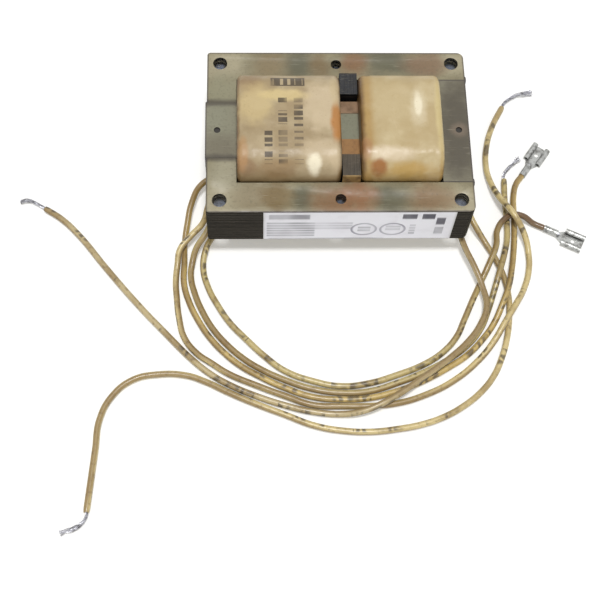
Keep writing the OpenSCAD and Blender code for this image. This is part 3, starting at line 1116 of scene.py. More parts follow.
def turned_along(line: Sequence[Vector]) -> list[Matrix]:
    """Turns a frame along a line without twisting it.

    Args:
        line: the points of the line.

    Returns:
        A place at each point, whose third axis follows the line.
    """
    places = []
    ahead = (line[1] - line[0]).normalized()
    turn = UP.rotation_difference(ahead)
    for index, point in enumerate(line):
        last = min(index + 1, len(line) - 1)
        following = (line[last] - line[max(index - 1, 0)]).normalized()
        turn = ahead.rotation_difference(following) @ turn
        ahead = following
        places.append(Matrix.Translation(point) @ turn.to_matrix().to_4x4())
    return places


@dataclass
class Tube:
    """A round tube with rounded rims and closed ends, in a mesh that may hold others. Metres."""

    mesh: Mesh
    radius: float
    sides: int
    rim_share: float = 0.86

    def __post_init__(self) -> None:
        """Finds or makes the layer for each vertex's distance along the line and direction round it."""
        layers = self.mesh.verts.layers.float_vector
        self.lay = layers.get("lay") or layers.new("lay")

    def along(self, line: Sequence[Vector]) -> None:
        """Sweeps the tube along a line.

        Args:
            line: the points of the centre line.
        """
        places = turned_along(line)
        radii = [self.radius] * len(places)
        radii[0] *= self.rim_share
        radii[-1] *= self.rim_share
        rim = ring(self.mesh, self.sides, 1.0, Vector())
        for vert in verts_of(rim):
            vert[self.lay] = (0, vert.co.x, vert.co.y)
        run = 0.0
        put_rim(rim, self.rule(places[0], radii[0], run))
        bmesh.ops.contextual_create(self.mesh, geom=rim)
        for index in range(1, len(places)):
            run += (line[index] - line[index - 1]).length
            rim = raise_rim(self.mesh, rim, self.rule(places[index], radii[index], run))
        bmesh.ops.contextual_create(self.mesh, geom=rim)

    def rule(self, place: Matrix, radius: float, run: float) -> Rule:
        """Makes the rule that puts one ring of the tube.

        Args:
            place: the ring's place.
            radius: its radius.
            run: its distance along the line.

        Returns:
            The rule.
        """

        def put(vert: Vert) -> Vector:
            """Puts one vertex, and writes its distance along the tube.

            Args:
                vert: the vertex.

            Returns:
                Its place.
            """
            _, cosine, sine = vert[self.lay]
            vert[self.lay] = (run, cosine, sine)
            return place @ Vector((cosine * radius, sine * radius, 0))

        return put


@dataclass
class CameraRig:
    """Camera that looks down on the label side. Degrees and metres, and a lens in millimetres."""

    elevation: float = 66.452
    yaw: float = 5.23
    roll: float = 4.466
    distance: float = 414.713 * MM
    target: Point = (-15.193 * MM, -66.972 * MM, 31.2 * MM)
    lens: float = 73.29
    clip_start: float = 10 * MM

    def build(self) -> None:
        """Makes the camera and gives it to the scene."""
        rise, yaw, roll = (math.radians(angle) for angle in (self.elevation, self.yaw, self.roll))
        ahead = Vector((math.sin(yaw) * math.cos(rise), math.cos(yaw) * math.cos(rise), -math.sin(rise)))
        level = Vector((math.cos(yaw), -math.sin(yaw), 0))
        upward = level.cross(ahead)
        right = math.cos(roll) * level + math.sin(roll) * upward
        top = math.cos(roll) * upward - math.sin(roll) * level
        eye = Vector(self.target) - self.distance * ahead
        data = bpy.data.cameras.new("camera")
        data.lens = self.lens
        data.clip_start = self.clip_start
        camera = bpy.data.objects.new("camera", data)
        camera.matrix_world = Matrix((right, top, -ahead)).transposed().to_4x4()
        camera.location = eye
        bpy.context.scene.collection.objects.link(camera)
        bpy.context.scene.camera = camera
        log.info("camera at %s", tuple(round(value, 4) for value in eye))


@dataclass
class Studio:
    """White table under a soft lamp, with a weak one in front and an even sky. Metres and watts."""

    table: float = 8.0
    table_colour: Colour = (0.97, 0.97, 0.97, 1.0)
    whitening: float = 0.18
    clear: float = 0.8
    glow: Colour = (1.0, 0.98, 0.91, 1.0)
    glow_power: float = 1.62
    lamp_at: Point = (0.0, -0.2, 2.5)
    lamp_size: float = 0.45
    lamp_power: float = 42.0
    fill_at: Point = (-0.1, -1.8, 0.65)
    fill_size: float = 0.6
    fill_power: float = 3.0
    sky: float = 0.36

    def build(self) -> None:
        """Makes the table, the lamps and the sky."""
        bpy.context.scene.view_settings.view_transform = "Standard"
        self.lay_table()
        self.hang_lamp("lamp", self.lamp_at, self.lamp_size, self.lamp_power)
        self.hang_lamp("fill", self.fill_at, self.fill_size, self.fill_power)
        self.paint_sky()
        log.info("table, two lamps and sky")

    def seen(self, tree: bpy.types.NodeTree) -> Socket:
        """Tells what the camera sees from what lights the object.

        Args:
            tree: the nodes to add to.

        Returns:
            1 for what the camera sees by itself, in a mirror or through glass, and 0 for the rest.
        """
        path = tree.nodes.new("ShaderNodeLightPath")
        total = path.outputs["Is Camera Ray"]
        for name in ("Is Glossy Ray", "Is Transmission Ray"):
            larger = tree.nodes.new("ShaderNodeMath")
            larger.operation = "MAXIMUM"
            tree.links.new(total, larger.inputs[0])
            tree.links.new(path.outputs[name], larger.inputs[1])
            total = larger.outputs[0]
        return total

    def lay_table(self) -> None:
        """A wide white sheet that keeps the object's shadow and glows white far from it."""
        mesh = bmesh.new()
        bmesh.ops.create_grid(mesh, x_segments=1, y_segments=1, size=self.table / 2)
        data = bpy.data.meshes.new("table")
        mesh.to_mesh(data)
        mesh.free()
        graph = Graph("table_white")
        graph.surface({"Base Color": self.table_colour, "Roughness": 0.9, "Specular IOR Level": 0.0})
        glow = graph.node("ShaderNodeEmission")
        graph.feed(glow.inputs["Color"], self.glow)
        graph.feed(glow.inputs["Strength"], self.glow_power)
        near = graph.spot((0, 0, 0), (self.clear, self.clear, self.clear), soft=0.5)
        share = graph.between(near, 0.0, 1.0, 1.0, self.whitening)
        blend = graph.node("ShaderNodeMixShader")
        graph.feed(blend.inputs["Fac"], graph.times(self.seen(graph.tree), share))
        graph.feed(blend.inputs[1], graph.shader.outputs[0])
        graph.feed(blend.inputs[2], glow.outputs[0])
        graph.feed(graph.tree.nodes["Material Output"].inputs["Surface"], blend.outputs[0])
        data.materials.append(graph.material)
        table = bpy.data.objects.new("table", data)
        bpy.context.scene.collection.objects.link(table)

    def hang_lamp(self, name: str, at: Point, size: float, power: float) -> None:
        """Hangs a square soft lamp that looks at the origin.

        Args:
            name: name of the lamp.
            at: its place.
            size: its width.
            power: its power.
        """
        data = bpy.data.lights.new(name, "AREA")
        data.size = size
        data.energy = power
        lamp = bpy.data.objects.new(name, data)
        lamp.matrix_world = Vector(at).to_track_quat("Z", "Y").to_matrix().to_4x4()
        lamp.location = at
        bpy.context.scene.collection.objects.link(lamp)

    def paint_sky(self) -> None:
        """An even white sky, dimmer as a light than as a backdrop."""
        world = bpy.data.worlds.new("sky")
        world.use_nodes = True
        strength = world.node_tree.nodes.new("ShaderNodeMapRange")
        strength.inputs["To Min"].default_value = self.sky
        strength.inputs["To Max"].default_value = 1.0
        world.node_tree.links.new(self.seen(world.node_tree), strength.inputs["Value"])
        backdrop = world.node_tree.nodes["Background"]
        backdrop.inputs["Color"].default_value = (1, 1, 1, 1)
        world.node_tree.links.new(strength.outputs["Result"], backdrop.inputs["Strength"])
        bpy.context.scene.world = world


@dataclass
class Lead:
    """An insulated lead from its coil to its bare strands or push-on terminal. Millimetres."""

    name: str
    coil: Winding
    exit_y: float
    route: Sequence[Point]
    length: float
    finish: SleeveFinish
    tip: Sequence[Point] = ()
    terminal: str = ""
    seed: int = 1
    diameter: float = 2.3
    exit_z: float = 5.5
    exit_len: float = 3.0
    strand_inside: float = 2.0
    strand_stub: float = 2.0
    wire_d: float = 0.23
    wire_layers: Sequence[int] = (1, 6, 12)
    lay_length: float = 9.0
    fray: float = 0.9
    sleeve_sides: int = 16
    sleeve_steps: int = 8
    wire_sides: int = 7
    wire_steps: int = 10

    def points(self) -> list[Vector]:
        """Puts the route's points after the lead's exit from its coil.

        Returns:
            The points, in metres.
        """
        low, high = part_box(f"{self.coil.value}_wrap")
        face, outward = (low.x, -1) if self.coil is Winding.PRIMARY else (high.x, 1)
        start = Vector((face, self.exit_y * MM, self.exit_z * MM))
        return [start, start + Vector((outward * self.exit_len * MM, 0, 0)), *metres(self.route)]

    def build(self, tin: Material) -> None:
        """Args:
            tin: finish of the strands.
        """
        points = self.points()
        line = smooth_line(points, self.sleeve_steps)
        mesh = bmesh.new()
        Tube(mesh, self.diameter / 2 * MM, self.sleeve_sides).along(line)
        sleeve = add_piece(f"{self.name}_sleeve", mesh, self.finish.build(), [self.name])
        if self.terminal:
            ends = [frame["nodes"][f"{self.name}_strands"], frame["nodes"][self.terminal]]
        else:
            ends = [self.bare_end(points, tin)]
        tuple(points[0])

    def bare_end(self, points: Sequence[Vector], tin: Material) -> bpy.types.Object:
        """Twists strands past the sleeve, a little frayed at the tip.

        Args:
            points: the lead's route.
            tin: finish of the strands.

        Returns:
            The strands' object.
        """
        chance = random.Random(self.seed)
        ahead = (points[-1] - points[-2]).normalized()
        inner = points[-1] - ahead * self.strand_inside * MM
        outer = points[-1] + ahead * self.strand_stub * MM
        places = turned_along(smooth_line([inner, outer, *metres(self.tip)], self.wire_steps))
        mesh = bmesh.new()
        outermost = len(self.wire_layers) - 1
        for layer, count in enumerate(self.wire_layers):
            for number in range(count):
                start = math.tau * number / count
                stray = Vector((chance.uniform(-1, 1), chance.uniform(-1, 1), 0)) * self.fray * MM
                off = layer * self.wire_d * MM
                self.wire(mesh, places, off, start, stray * (layer == outermost))
        return add_piece(f"{self.name}_bare_end", mesh, tin, [f"{self.name}_strands"])

    def wire(self, mesh: Mesh, places: Sequence[Matrix], off: float, start: float, stray: Vector) -> None:
        """Adds one wire, which winds round the middle and strays towards the tip.

        Args:
            mesh: the mesh to add to.
            places: places along the middle.
            off: the wire's distance from the middle.
            start: the angle at which it starts.
            stray: how far it strays at the tip.
        """
        line = []
        run = 0.0
        for index, place in enumerate(places):
            if index:
                run += (place.translation - places[index - 1].translation).length
            share = index / (len(places) - 1)
            angle = start + math.tau * run / (self.lay_length * MM)
            local = Vector((math.cos(angle) * off, math.sin(angle) * off, 0)) + stray * share ** 3
            spot = place @ local
            spot.z = max(spot.z, self.wire_d * MM)
            line.append(spot)
        Tube(mesh, self.wire_d / 2 * MM, self.wire_sides).along(line)


@dataclass
class Hole:
    """A round hole or dimple in a sheet. Metres."""

    x: float
    y: float
    radius: float


@dataclass
class SheetPile:
    """A pile of punched sheets, as one shell with a fine groove between the sheets' edges. Metres.

    A corner is its X, its Y and the radius of its rounding.
    """

    corners: Sequence[Point]
    height: float
    holes: Sequence[Hole] = ()
    pits: Sequence[Hole] = ()
    seed: int = 1
    pit_depth: float = 0.6 * MM
    sheet: float = 0.47 * MM
    groove: float = 0.07 * MM
    gap: float = 0.09 * MM
    slip: float = 0.03 * MM
    corner_steps: int = 8
    hole_sides: int = 36
    pit_sides: int = 20

    def build(self) -> Mesh:
        """Makes the pile from its base at height 0.

        Returns:
            The mesh.
        """
        mesh = bmesh.new()
        self.home = mesh.verts.layers.float_vector.new("home")
        self.out = mesh.verts.layers.float_vector.new("out")
        self.bore = mesh.verts.layers.float.new("bore")
        rim = self.outline(mesh)
        pits = self.pit_rims(mesh, 0.0)
        bmesh.ops.triangle_fill(mesh, use_beauty=True, edges=rim + pits)
        self.keep_homes(rim)
        put_rim(rim, lambda vert: vert.co - vert[self.out] * self.groove)
        self.press(mesh, pits)
        rim = self.raise_sheets(mesh, rim)
        pits = self.pit_rims(mesh, self.height)
        bmesh.ops.triangle_fill(mesh, use_beauty=True, edges=rim + pits)
        self.press(mesh, pits)
        drop_layers(mesh)
        return mesh

    def outline(self, mesh: Mesh) -> list[Edge]:
        """Draws the sheet's outline with its round corners and holes.

        Args:
            mesh: the mesh to add to.

        Returns:
            The loose edges.
        """
        verts = [mesh.verts.new((x, y, 0)) for x, y, _ in self.corners]
        mesh.faces.new(verts)
        for vert, (_, _, radius) in zip(verts, self.corners):
            if radius:
                bmesh.ops.bevel(mesh, geom=[vert], offset=radius, offset_type="OFFSET",
                                segments=self.corner_steps, profile=0.5, affect="VERTICES", material=-1)
        bmesh.ops.delete(mesh, geom=mesh.faces[:], context="FACES_ONLY")
        rim = list(mesh.edges)
        for hole in self.holes:
            edges = ring(mesh, self.hole_sides, hole.radius, Vector((hole.x, hole.y, 0)))
            for vert in verts_of(edges):
                vert[self.bore] = 1.0
            rim += edges
        return rim

    def pit_rims(self, mesh: Mesh, level: float) -> list[Edge]:
        """Draws the rims of the interlock dimples.

        Args:
            mesh: the mesh to add to.
            level: height of the rims.

        Returns:
            The loose edges.
        """
        rims = []
        for pit in self.pits:
            rims += ring(mesh, self.pit_sides, pit.radius, Vector((pit.x, pit.y, level)))
        return rims

    def press(self, mesh: Mesh, pits: list[Edge]) -> None:
        """Presses the dimples down and closes them.

        Args:
            mesh: the mesh to add to.
            pits: the dimples' rims.
        """
        if pits:
            low = raise_rim(mesh, pits, lambda vert: vert.co - UP * self.pit_depth)
            bmesh.ops.edgeloop_fill(mesh, edges=low)

    def keep_homes(self, rim: Sequence[Edge]) -> None:
        """Writes each rim vertex's place in the sheet and the way out of the steel there.

        Args:
            rim: the rim's edges.
        """
        outward = {vert: Vector() for vert in verts_of(rim)}
        for edge in rim:
            along = (edge.verts[1].co - edge.verts[0].co).normalized()
            away = along.cross(UP)
            inside = edge.link_faces[0].calc_center_median() - edge.verts[0].co
            if away.dot(inside) > 0:
                away.negate()
            for vert in edge.verts:
                outward[vert] += away
        for vert, away in outward.items():
            vert[self.home] = vert.co
            vert[self.out] = away.normalized()

    def raise_sheets(self, mesh: Mesh, rim: list[Edge]) -> list[Edge]:
        """Raises the edges of all sheets.

        Args:
            mesh: the mesh to add to.
            rim: the rim at the base.

        Returns:
            The rim at the top.
        """
        chance = random.Random(self.seed)
        count = round(self.height / self.sheet)
        step = self.height / count
        for number in range(count):
            slip = Vector((chance.uniform(-1, 1), chance.uniform(-1, 1), 0)) * self.slip
            base = number * step
            top = base + step
            rim = raise_rim(mesh, rim, self.rule(base + self.gap / 2, 0.0, slip))
            rim = raise_rim(mesh, rim, self.rule(top - self.gap / 2, 0.0, slip))
            rim = raise_rim(mesh, rim, self.rule(top, self.groove, slip))
        return rim

    def rule(self, level: float, inset: float, slip: Vector) -> Rule:
        """Makes the rule that puts one ring of a sheet's edge.

        Args:
            level: height of the ring.
            inset: how far it lies inside the outline.
            slip: how far the sheet lies off its place.

        Returns:
            The rule.
        """

        def put(vert: Vert) -> Vector:
            """Place of one vertex."""
            flat = vert[self.home] - vert[self.out] * inset + slip
            return Vector((flat.x, flat.y, level))

        return put


@dataclass
class Bead:
    """A rippled weld bead up a seam. Metres.

    It stands out along X by its way, 1 or -1, and lies on one side of the seam, or on both at side 0.
    """

    foot: Vector
    height: float
    out: float
    half: float
    way: int
    side: int
    ripple: float = 1.5 * MM
    trough: float = 0.86
    sides: int = 28
    steps: int = 90

    def build(self, mesh: Mesh) -> None:
        """Adds the bead to a mesh.

        Args:
            mesh: the mesh to add to.
        """
        layers = mesh.verts.layers.float_vector
        self.home = layers.get("home") or layers.new("home")
        rim = ring(mesh, self.sides, 1.0, Vector())
        for vert in verts_of(rim):
            vert[self.home] = vert.co
        put_rim(rim, self.rule(0.0))
        bmesh.ops.contextual_create(mesh, geom=rim)
        for step in range(1, self.steps + 1):
            rim = raise_rim(mesh, rim, self.rule(self.height * step / self.steps))
        bmesh.ops.contextual_create(mesh, geom=rim)

    def rule(self, rise: float) -> Rule:
        """Makes the rule that puts one ring of the bead.

        Args:
            rise: the ring's height above the foot.

        Returns:
            The rule.
        """
        swell = self.trough + (1 - self.trough) * abs(math.sin(math.pi * rise / self.ripple))

        def put(vert: Vert) -> Vector:
            """Puts one vertex.

            Args:
                vert: the vertex.

            Returns:
                Its place.
            """
            across = max(vert[self.home].x, 0) * self.out * swell * self.way
            along = vert[self.home].y * self.half * swell
            if self.side:
                along = self.side * max(self.side * along, 0)
            return self.foot + Vector((across, along, rise))

        return put


@dataclass
class Core:
    """The core: two L stacks, the T stack through the coils and the welds between them. Metres."""

    foot_w: float = 10.8 * MM
    leg_w: float = 11.8 * MM
    strip_corner_r: float = 2.4 * MM
    foot_corner_r: float = 1.2 * MM
    pip_r: float = 1.2 * MM
    pip_inset: float = 3.8 * MM
    bead_out: float = 0.4 * MM
    bead_w: float = 3.0 * MM
    merge: float = 0.001 * MM
    edge: Colour = paint(52, 50, 46)

    def __post_init__(self) -> None:
        """Takes the stacks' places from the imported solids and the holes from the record."""
        self.low, self.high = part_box("back_leg_stack")
        tongue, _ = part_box("centre_leg_stack")
        self.height = self.high.z - self.low.z
        self.tongue_x = tongue.x
        self.tongue_out = self.low.x - tongue.x
        self.half_stem = self.low.y
        self.leg_inner = self.high.y - self.leg_w
        mounts = {mount["name"]: mount for mount in frame["record"]["mounts"]}
        corner, middle = mounts["corner_holes"], mounts["middle_holes"]
        self.mid_x = corner["pos_m"][0]
        self.hole_x = corner["dims"]["spacing_x_mm"] / 2 * MM
        self.hole_y = corner["dims"]["spacing_y_mm"] / 2 * MM
        self.hole_r = corner["dims"]["hole_r_mm"] * MM
        self.mid_hole_y = middle["dims"]["spacing_y_mm"] / 2 * MM
        self.mid_hole_r = middle["dims"]["hole_r_mm"] * MM

    def build(self) -> None:
        """Makes the three stacks and the welds."""
        self.leg_stacks()
        self.centre_stack()
        self.welds()

    def leg_stacks(self) -> None:
        """The back stack, and the front stack as its mirror image."""
        steel = self.leg_steel().build()
        low, high = self.low, self.high
        window = low.x + self.foot_w
        for name, side, seed in (("back_leg", 1, 3), ("front_leg", -1, 4)):
            corners = [
                (low.x, side * high.y, self.foot_corner_r), (high.x, side * high.y, self.strip_corner_r),
                (high.x, side * self.leg_inner, 0), (window, side * self.leg_inner, 0),
                (window, side * self.half_stem, 0), (low.x, side * self.half_stem, 0),
            ]
            ends = (self.mid_x - self.hole_x, self.mid_x + self.hole_x)
            holes = [Hole(x, side * self.hole_y, self.hole_r) for x in ends]
            holes.append(Hole(self.mid_x, side * self.mid_hole_y, self.mid_hole_r))
            mesh = SheetPile(corners, self.height, holes, seed=seed).build()
            bmesh.ops.translate(mesh, verts=mesh.verts, vec=UP * low.z)
            add_piece(f"{name}_sheets", mesh, steel, [f"{name}_stack"])

    def centre_stack(self) -> None:
        """The T stack with its interlock dimples."""
        stem, bar = self.half_stem, self.leg_inner
        window = self.high.x - self.foot_w
        corners = [
            (self.tongue_x, -stem, 0), (window, -stem, 0), (window, -bar, 0), (self.high.x, -bar, 0),
            (self.high.x, bar, 0), (window, bar, 0), (window, stem, 0), (self.tongue_x, stem, 0),
        ]
        ends = (self.low.x + self.pip_inset, self.high.x - self.pip_inset)
        pits = [Hole(x, 0, self.pip_r) for x in ends]
        mesh = SheetPile(corners, self.height, pits=pits, seed=5).build()
        bmesh.ops.translate(mesh, verts=mesh.verts, vec=UP * self.low.z)
        steel = self.centre_steel().build()
        add_piece("centre_leg_sheets", mesh, steel, ["centre_leg_stack"])

    def welds(self) -> None:
        """Rippled beads along the four seams."""
        mesh = bmesh.new()
        for side in (-1, 1):
            bar_end = Vector((self.high.x, side * self.leg_inner, self.low.z))
            Bead(bar_end, self.height, self.bead_out, self.bead_w / 2, 1, 0).build(mesh)
            tongue_side = Vector((self.low.x, side * self.half_stem, self.low.z))
            Bead(tongue_side, self.height, self.tongue_out, self.tongue_out, -1, side).build(mesh)
        bmesh.ops.remove_doubles(mesh, verts=mesh.verts, dist=self.merge)
        bmesh.ops.dissolve_degenerate(mesh, dist=self.merge, edges=mesh.edges)
        add_piece("seam_weld_beads", mesh, WeldSteel().build(), ["seam_welds"])

    def leg_steel(self) -> TintedSteel:
        """Puts the tints of the two leg stacks in their places.

        Returns:
            The finish.
        """
        khaki, red, slate = paint(170, 161, 134), paint(128, 92, 60), paint(84, 84, 66)
        patches = (
            Patch(-42, 29, 7, 6, khaki), Patch(-42, -29, 8, 7, khaki), Patch(45, 29, 6, 5, khaki),
            Patch(44, -29, 6, 6, khaki), Patch(-31, -28, 7, 7, paint(140, 128, 102)),
            Patch(-14, 28, 6, 6, slate), Patch(19, 29, 9, 6, slate), Patch(19, -28, 7, 6, slate),
            Patch(-14, -28, 3.5, 6, paint(80, 80, 62)), Patch(-22, -27, 5, 6, paint(118, 98, 62)),
            Patch(6.5, 28.5, 5, 5, red), Patch(33, 28.5, 7, 5, paint(126, 100, 76)),
            Patch(-1, -29, 9, 6, red), Patch(32, -28, 8, 6, red, 0.6),
            Patch(7, -28, 5, 6, paint(136, 92, 58)), Patch(-24, 28, 6, 6, paint(126, 108, 76), 0.7),
            Patch(-6, 28, 4, 5, paint(118, 98, 66)), Patch(-41, 16, 6, 6, paint(140, 137, 112)),
            Patch(-40, -17, 6, 6, paint(160, 154, 130)),
        )
        corner = Vector((self.low.x, -self.high.y, self.low.z))
        return TintedSteel("leg_steel", paint(132, 124, 98), paint(146, 138, 110), self.edge, self.high.z,
                           patches, self.half_stem, self.low.x + self.foot_w, (corner, self.high))

    def centre_steel(self) -> TintedSteel:
        """Gives the T stack a grey-green stem and a dark brown-grey crossbar.

        Returns:
            The finish.
        """
        patches = (
            Patch(-43, 4, 6, 8, paint(134, 133, 112)), Patch(-43, -7, 6, 5, paint(112, 106, 88)),
            Patch(4, 0, 5, 12, paint(130, 131, 110)), Patch(43, 0, 8, 24, paint(79, 73, 61), 0.95),
            Patch(43.9, 0, 2.6, 2.4, paint(128, 112, 96), 0.6),
        )
        return TintedSteel("centre_steel", paint(122, 117, 98), paint(136, 132, 112), self.edge,
                           self.high.z, patches, self.half_stem, self.low.x + self.foot_w,
                           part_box("centre_leg_stack"))


@dataclass
class Coil:
    """A coil: tube, winding and the varnished wrap that shows. Millimetres."""

    winding: Winding
    finish: CoilVarnish
    corner_r: float = 9.5
    end_round: float = 2.0
    left_step: float = 0.0
    step_depth: float = 0.2
    wave: float = 0.26
    wave_size: float = 8.0
    pitch: float = 0.9
    corner_steps: int = 12
    side_cuts: int = 24
    round_steps: int = 6

    def build(self, board: Material, wire: Material) -> None:
        """Makes the wrap and dresses the tube and the winding.

        Args:
            board: finish of the tube.
            wire: finish of the winding.
        """
        name = self.winding.value
        dress(f"{name}_core_tube", board)
        dress(f"{name}_winding", wire)
        add_piece(f"{name}_coil_wrap", self.wrap(name), self.finish.build(), [f"{name}_wrap"])

    def wrap(self, name: str) -> Mesh:
        """Makes the wrap's shell: out of the tunnel, along the coil and back into the tunnel.

        Args:
            name: first word of the coil's pieces.

        Returns:
            The mesh.
        """
        low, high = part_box(f"{name}_wrap")
        inner_low, inner_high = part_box(f"{name}_core_tube")
        half, tunnel = (high - low) / 2, (inner_high - inner_low) / 2
        length = high.x - low.x
        mesh = bmesh.new()
        first = self.section(mesh, half)
        put_rim(first, lambda vert: self.mouth(vert, tunnel, 0.0))
        rim = first
        for along, inset in self.stations(length):
            rim = raise_rim(mesh, rim, self.rule(along, inset))
        rim = raise_rim(mesh, rim, lambda vert: self.mouth(vert, tunnel, length))
        bmesh.ops.bridge_loops(mesh, edges=first + rim)
        drop_layers(mesh)
        middle = (low + high) / 2
        place = Matrix.Translation((low.x, middle.y, middle.z)) @ STAND
        bmesh.ops.transform(mesh, matrix=place, verts=mesh.verts)
        return mesh

    def section(self, mesh: Mesh, half: Vector) -> list[Edge]:
        """Draws the coil's section with its round corners, as a loop of edges that know the way out.

        Args:
            mesh: the mesh to add to.
            half: half the coil's size.

        Returns:
            The edges.
        """
        bmesh.ops.create_grid(mesh, x_segments=1, y_segments=1, size=1.0)
        bmesh.ops.scale(mesh, vec=(half.y, half.z, 1), verts=mesh.verts)
        corner = self.corner_r * MM
        bmesh.ops.bevel(mesh, geom=mesh.verts[:], offset=corner, offset_type="OFFSET",
                        segments=self.corner_steps, profile=0.5, affect="VERTICES", material=-1)
        bmesh.ops.delete(mesh, geom=mesh.faces[:], context="FACES_ONLY")
        long_edges = [edge for edge in mesh.edges if edge.calc_length() > corner]
        bmesh.ops.subdivide_edges(mesh, edges=long_edges, cuts=self.side_cuts)
        self.home = mesh.verts.layers.float_vector.new("home")
        self.out = mesh.verts.layers.float_vector.new("out")
        core = Vector((half.y - corner, half.z - corner))
        for vert in mesh.verts:
            inner = [max(-reach, min(reach, value)) for reach, value in zip(core, vert.co)]
            vert[self.home] = vert.co
            vert[self.out] = (vert.co - Vector((*inner, 0))).normalized()
        return list(mesh.edges)

    def stations(self, length: float) -> list[tuple[float, float]]:
        """Lists the places along the coil, with how far the wrap is drawn in at each.

        Args:
            length: length of the coil, in metres.

        Returns:
            Pairs of a distance from the left end and an inset, in metres.
        """
        radius = self.end_round * MM
        arc = []
        for number in range(self.round_steps + 1):
            angle = math.pi / 2 * number / self.round_steps
            arc.append((radius * (1 - math.cos(angle)), radius * (1 - math.sin(angle))))
        straight = length - 2 * radius
        count = round(straight / (self.pitch * MM))
        body = [(radius + straight * number / count, 0.0) for number in range(1, count)]
        result = arc + body + [(length - along, inset) for along, inset in reversed(arc)]
        edge, depth = self.left_step * MM, self.step_depth * MM
        return [(along, inset + depth * (along < edge)) for along, inset in result]

    def mouth(self, vert: Vert, tunnel: Vector, along: float) -> Vector:
        """Puts a vertex on the rim of the tunnel, straight in from its place on the outside.

        Args:
            vert: the vertex.
            tunnel: half the tunnel's size.
            along: distance from the coil's left end.

        Returns:
            Its place.
        """
        spot = vert[self.home]
        share = min(tunnel.y / max(abs(spot.x), MM), tunnel.z / max(abs(spot.y), MM))
        return Vector((spot.x * share, spot.y * share, along))

    def rule(self, along: float, inset: float) -> Rule:
        """Makes the rule that puts one ring of the wrap, with its slack waves drawn inwards.

        Args:
            along: distance from the coil's left end.
            inset: how far the wrap is drawn in there.

        Returns:
            The rule.
        """

        def put(vert: Vert) -> Vector:
            """Puts one vertex.

            Args:
                vert: the vertex.

            Returns:
                Its place.
            """
            spot = vert[self.home] + UP * along
            slack = 0.5 + 0.5 * noise.noise(spot / (self.wave_size * MM))
            return spot - vert[self.out] * (inset + self.wave * MM * slack)

        return put


@dataclass
class Shunts:
    """The two magnetic shunts between the coils, with their papers."""

    seed: int = 8
    edge: Colour = paint(30, 29, 30)

    def build(self) -> None:
        """Makes both shunts and dresses their papers."""
        self.shunt("back_shunt", paint(30, 30, 32), paint(41, 42, 46))
        back_paper = Paper("back_shunt_paper", paint(58, 50, 40), paint(38, 33, 27))
        dress("back_shunt_paper", back_paper.build())
        self.shunt("front_shunt", paint(66, 58, 46), paint(80, 70, 56))
        front_paper = Paper("front_shunt_paper", paint(150, 122, 74), paint(96, 72, 40))
        dress("front_shunt_paper", front_paper.build())

    def shunt(self, name: str, face: Colour, pale: Colour) -> None:
        """Makes one shunt, a pile of sheets that stand on edge.

        Args:
            name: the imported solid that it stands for.
            face: colour of its faces.
            pale: colour of the paler clouds on them.
        """
        low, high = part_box(name)
        corners = [(low.y, low.z, 0), (high.y, low.z, 0), (high.y, high.z, 0), (low.y, high.z, 0)]
        mesh = SheetPile(corners, high.x - low.x, seed=self.seed).build()
        bmesh.ops.transform(mesh, matrix=Matrix.Translation((low.x, 0, 0)) @ STAND, verts=mesh.verts)
        steel = TintedSteel(f"{name}_steel", face, pale, self.edge, 0.0).build()
        add_piece(f"{name}_sheets", mesh, steel, [name])


@dataclass
class Nameplate:
    """The label on the front stack, with fields of print in place of words. Millimetres."""

    smears: tuple[Smear, ...] = (
        Smear(2.0, 16.5, 1.0, 5.8, 4.8, 0.7), Smear(1.2, 18.5, 7.2, 18.6, 1.9, 0.6),
        Smear(18.5, 32.0, 7.2, 12.9, 1.9, 0.34), Smear(49.4, 54.6, 0.8, 5.8, 5.0, 1.0),
        Smear(56.4, 61.0, 0.6, 6.0, 5.4, 1.0), Smear(52.6, 54.8, 9.0, 17.0, 2.0, 0.5),
        Smear(61.8, 65.0, 3.4, 17.8, 7.2, 0.95), Smear(34.0, 38.6, 10.6, 14.8, 2.1, 0.5),
        Smear(44.0, 49.4, 9.8, 14.0, 2.1, 0.5), Smear(2.0, 44.0, 19.4, 20.8, 1.4, 0.4),
    )
    ovals: tuple[Oval, ...] = (Oval(36.2, 12.8, 4.8, 4.8), Oval(46.6, 12.8, 4.8, 4.8))
    depth: float = 5.0

    def build(self) -> None:
        """Dresses the label."""
        low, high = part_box("label")
        middle = (low + high) / 2
        corner = Vector((low.x, middle.y, high.z))
        half = (high - low) / 2 + Vector((0, self.depth * MM, 0))
        dress("label", LabelPaper(corner, middle, half, self.smears, self.ovals).build())


LINE_LEAD_A = (
    (-43.5, -9, 5.5), (-46.5, -13, 5.5), (-48, -18, 5.5), (-49.5, -24, 5.5), (-54, -29.5, 5),
    (-58, -34.5, 4), (-59, -40, 2), (-59.5, -46, 1.3), (-59, -53, 1.3), (-58, -61, 1.3),
    (-56, -68.5, 1.3), (-51.5, -74.5, 1.3), (-46, -78.5, 1.3), (-40, -82.5, 1.3), (-30, -87, 1.3),
    (-20, -91, 1.3), (-10, -94.5, 1.3), (0, -95, 1.3), (10, -95, 1.3), (20, -94, 1.3),
    (30, -91, 1.3), (40, -86, 1.3), (50, -78, 1.5), (56, -71, 2.5), (60.5, -64, 4),
    (65, -57, 4), (69, -50, 1.5), (71.5, -42.5, 1.3), (72, -35, 1.5), (70.5, -28.5, 4),
    (66.5, -21.5, 7), (62.5, -14, 5), (60, -6, 2.5), (59, 2, 1.3), (60, 11, 1.3),
    (63, 20, 1.3), (67.5, 28.5, 1.3),
)
LINE_LEAD_A_TIP = ((72.5, 33.5, 1.3), (80, 35.5, 1.3))
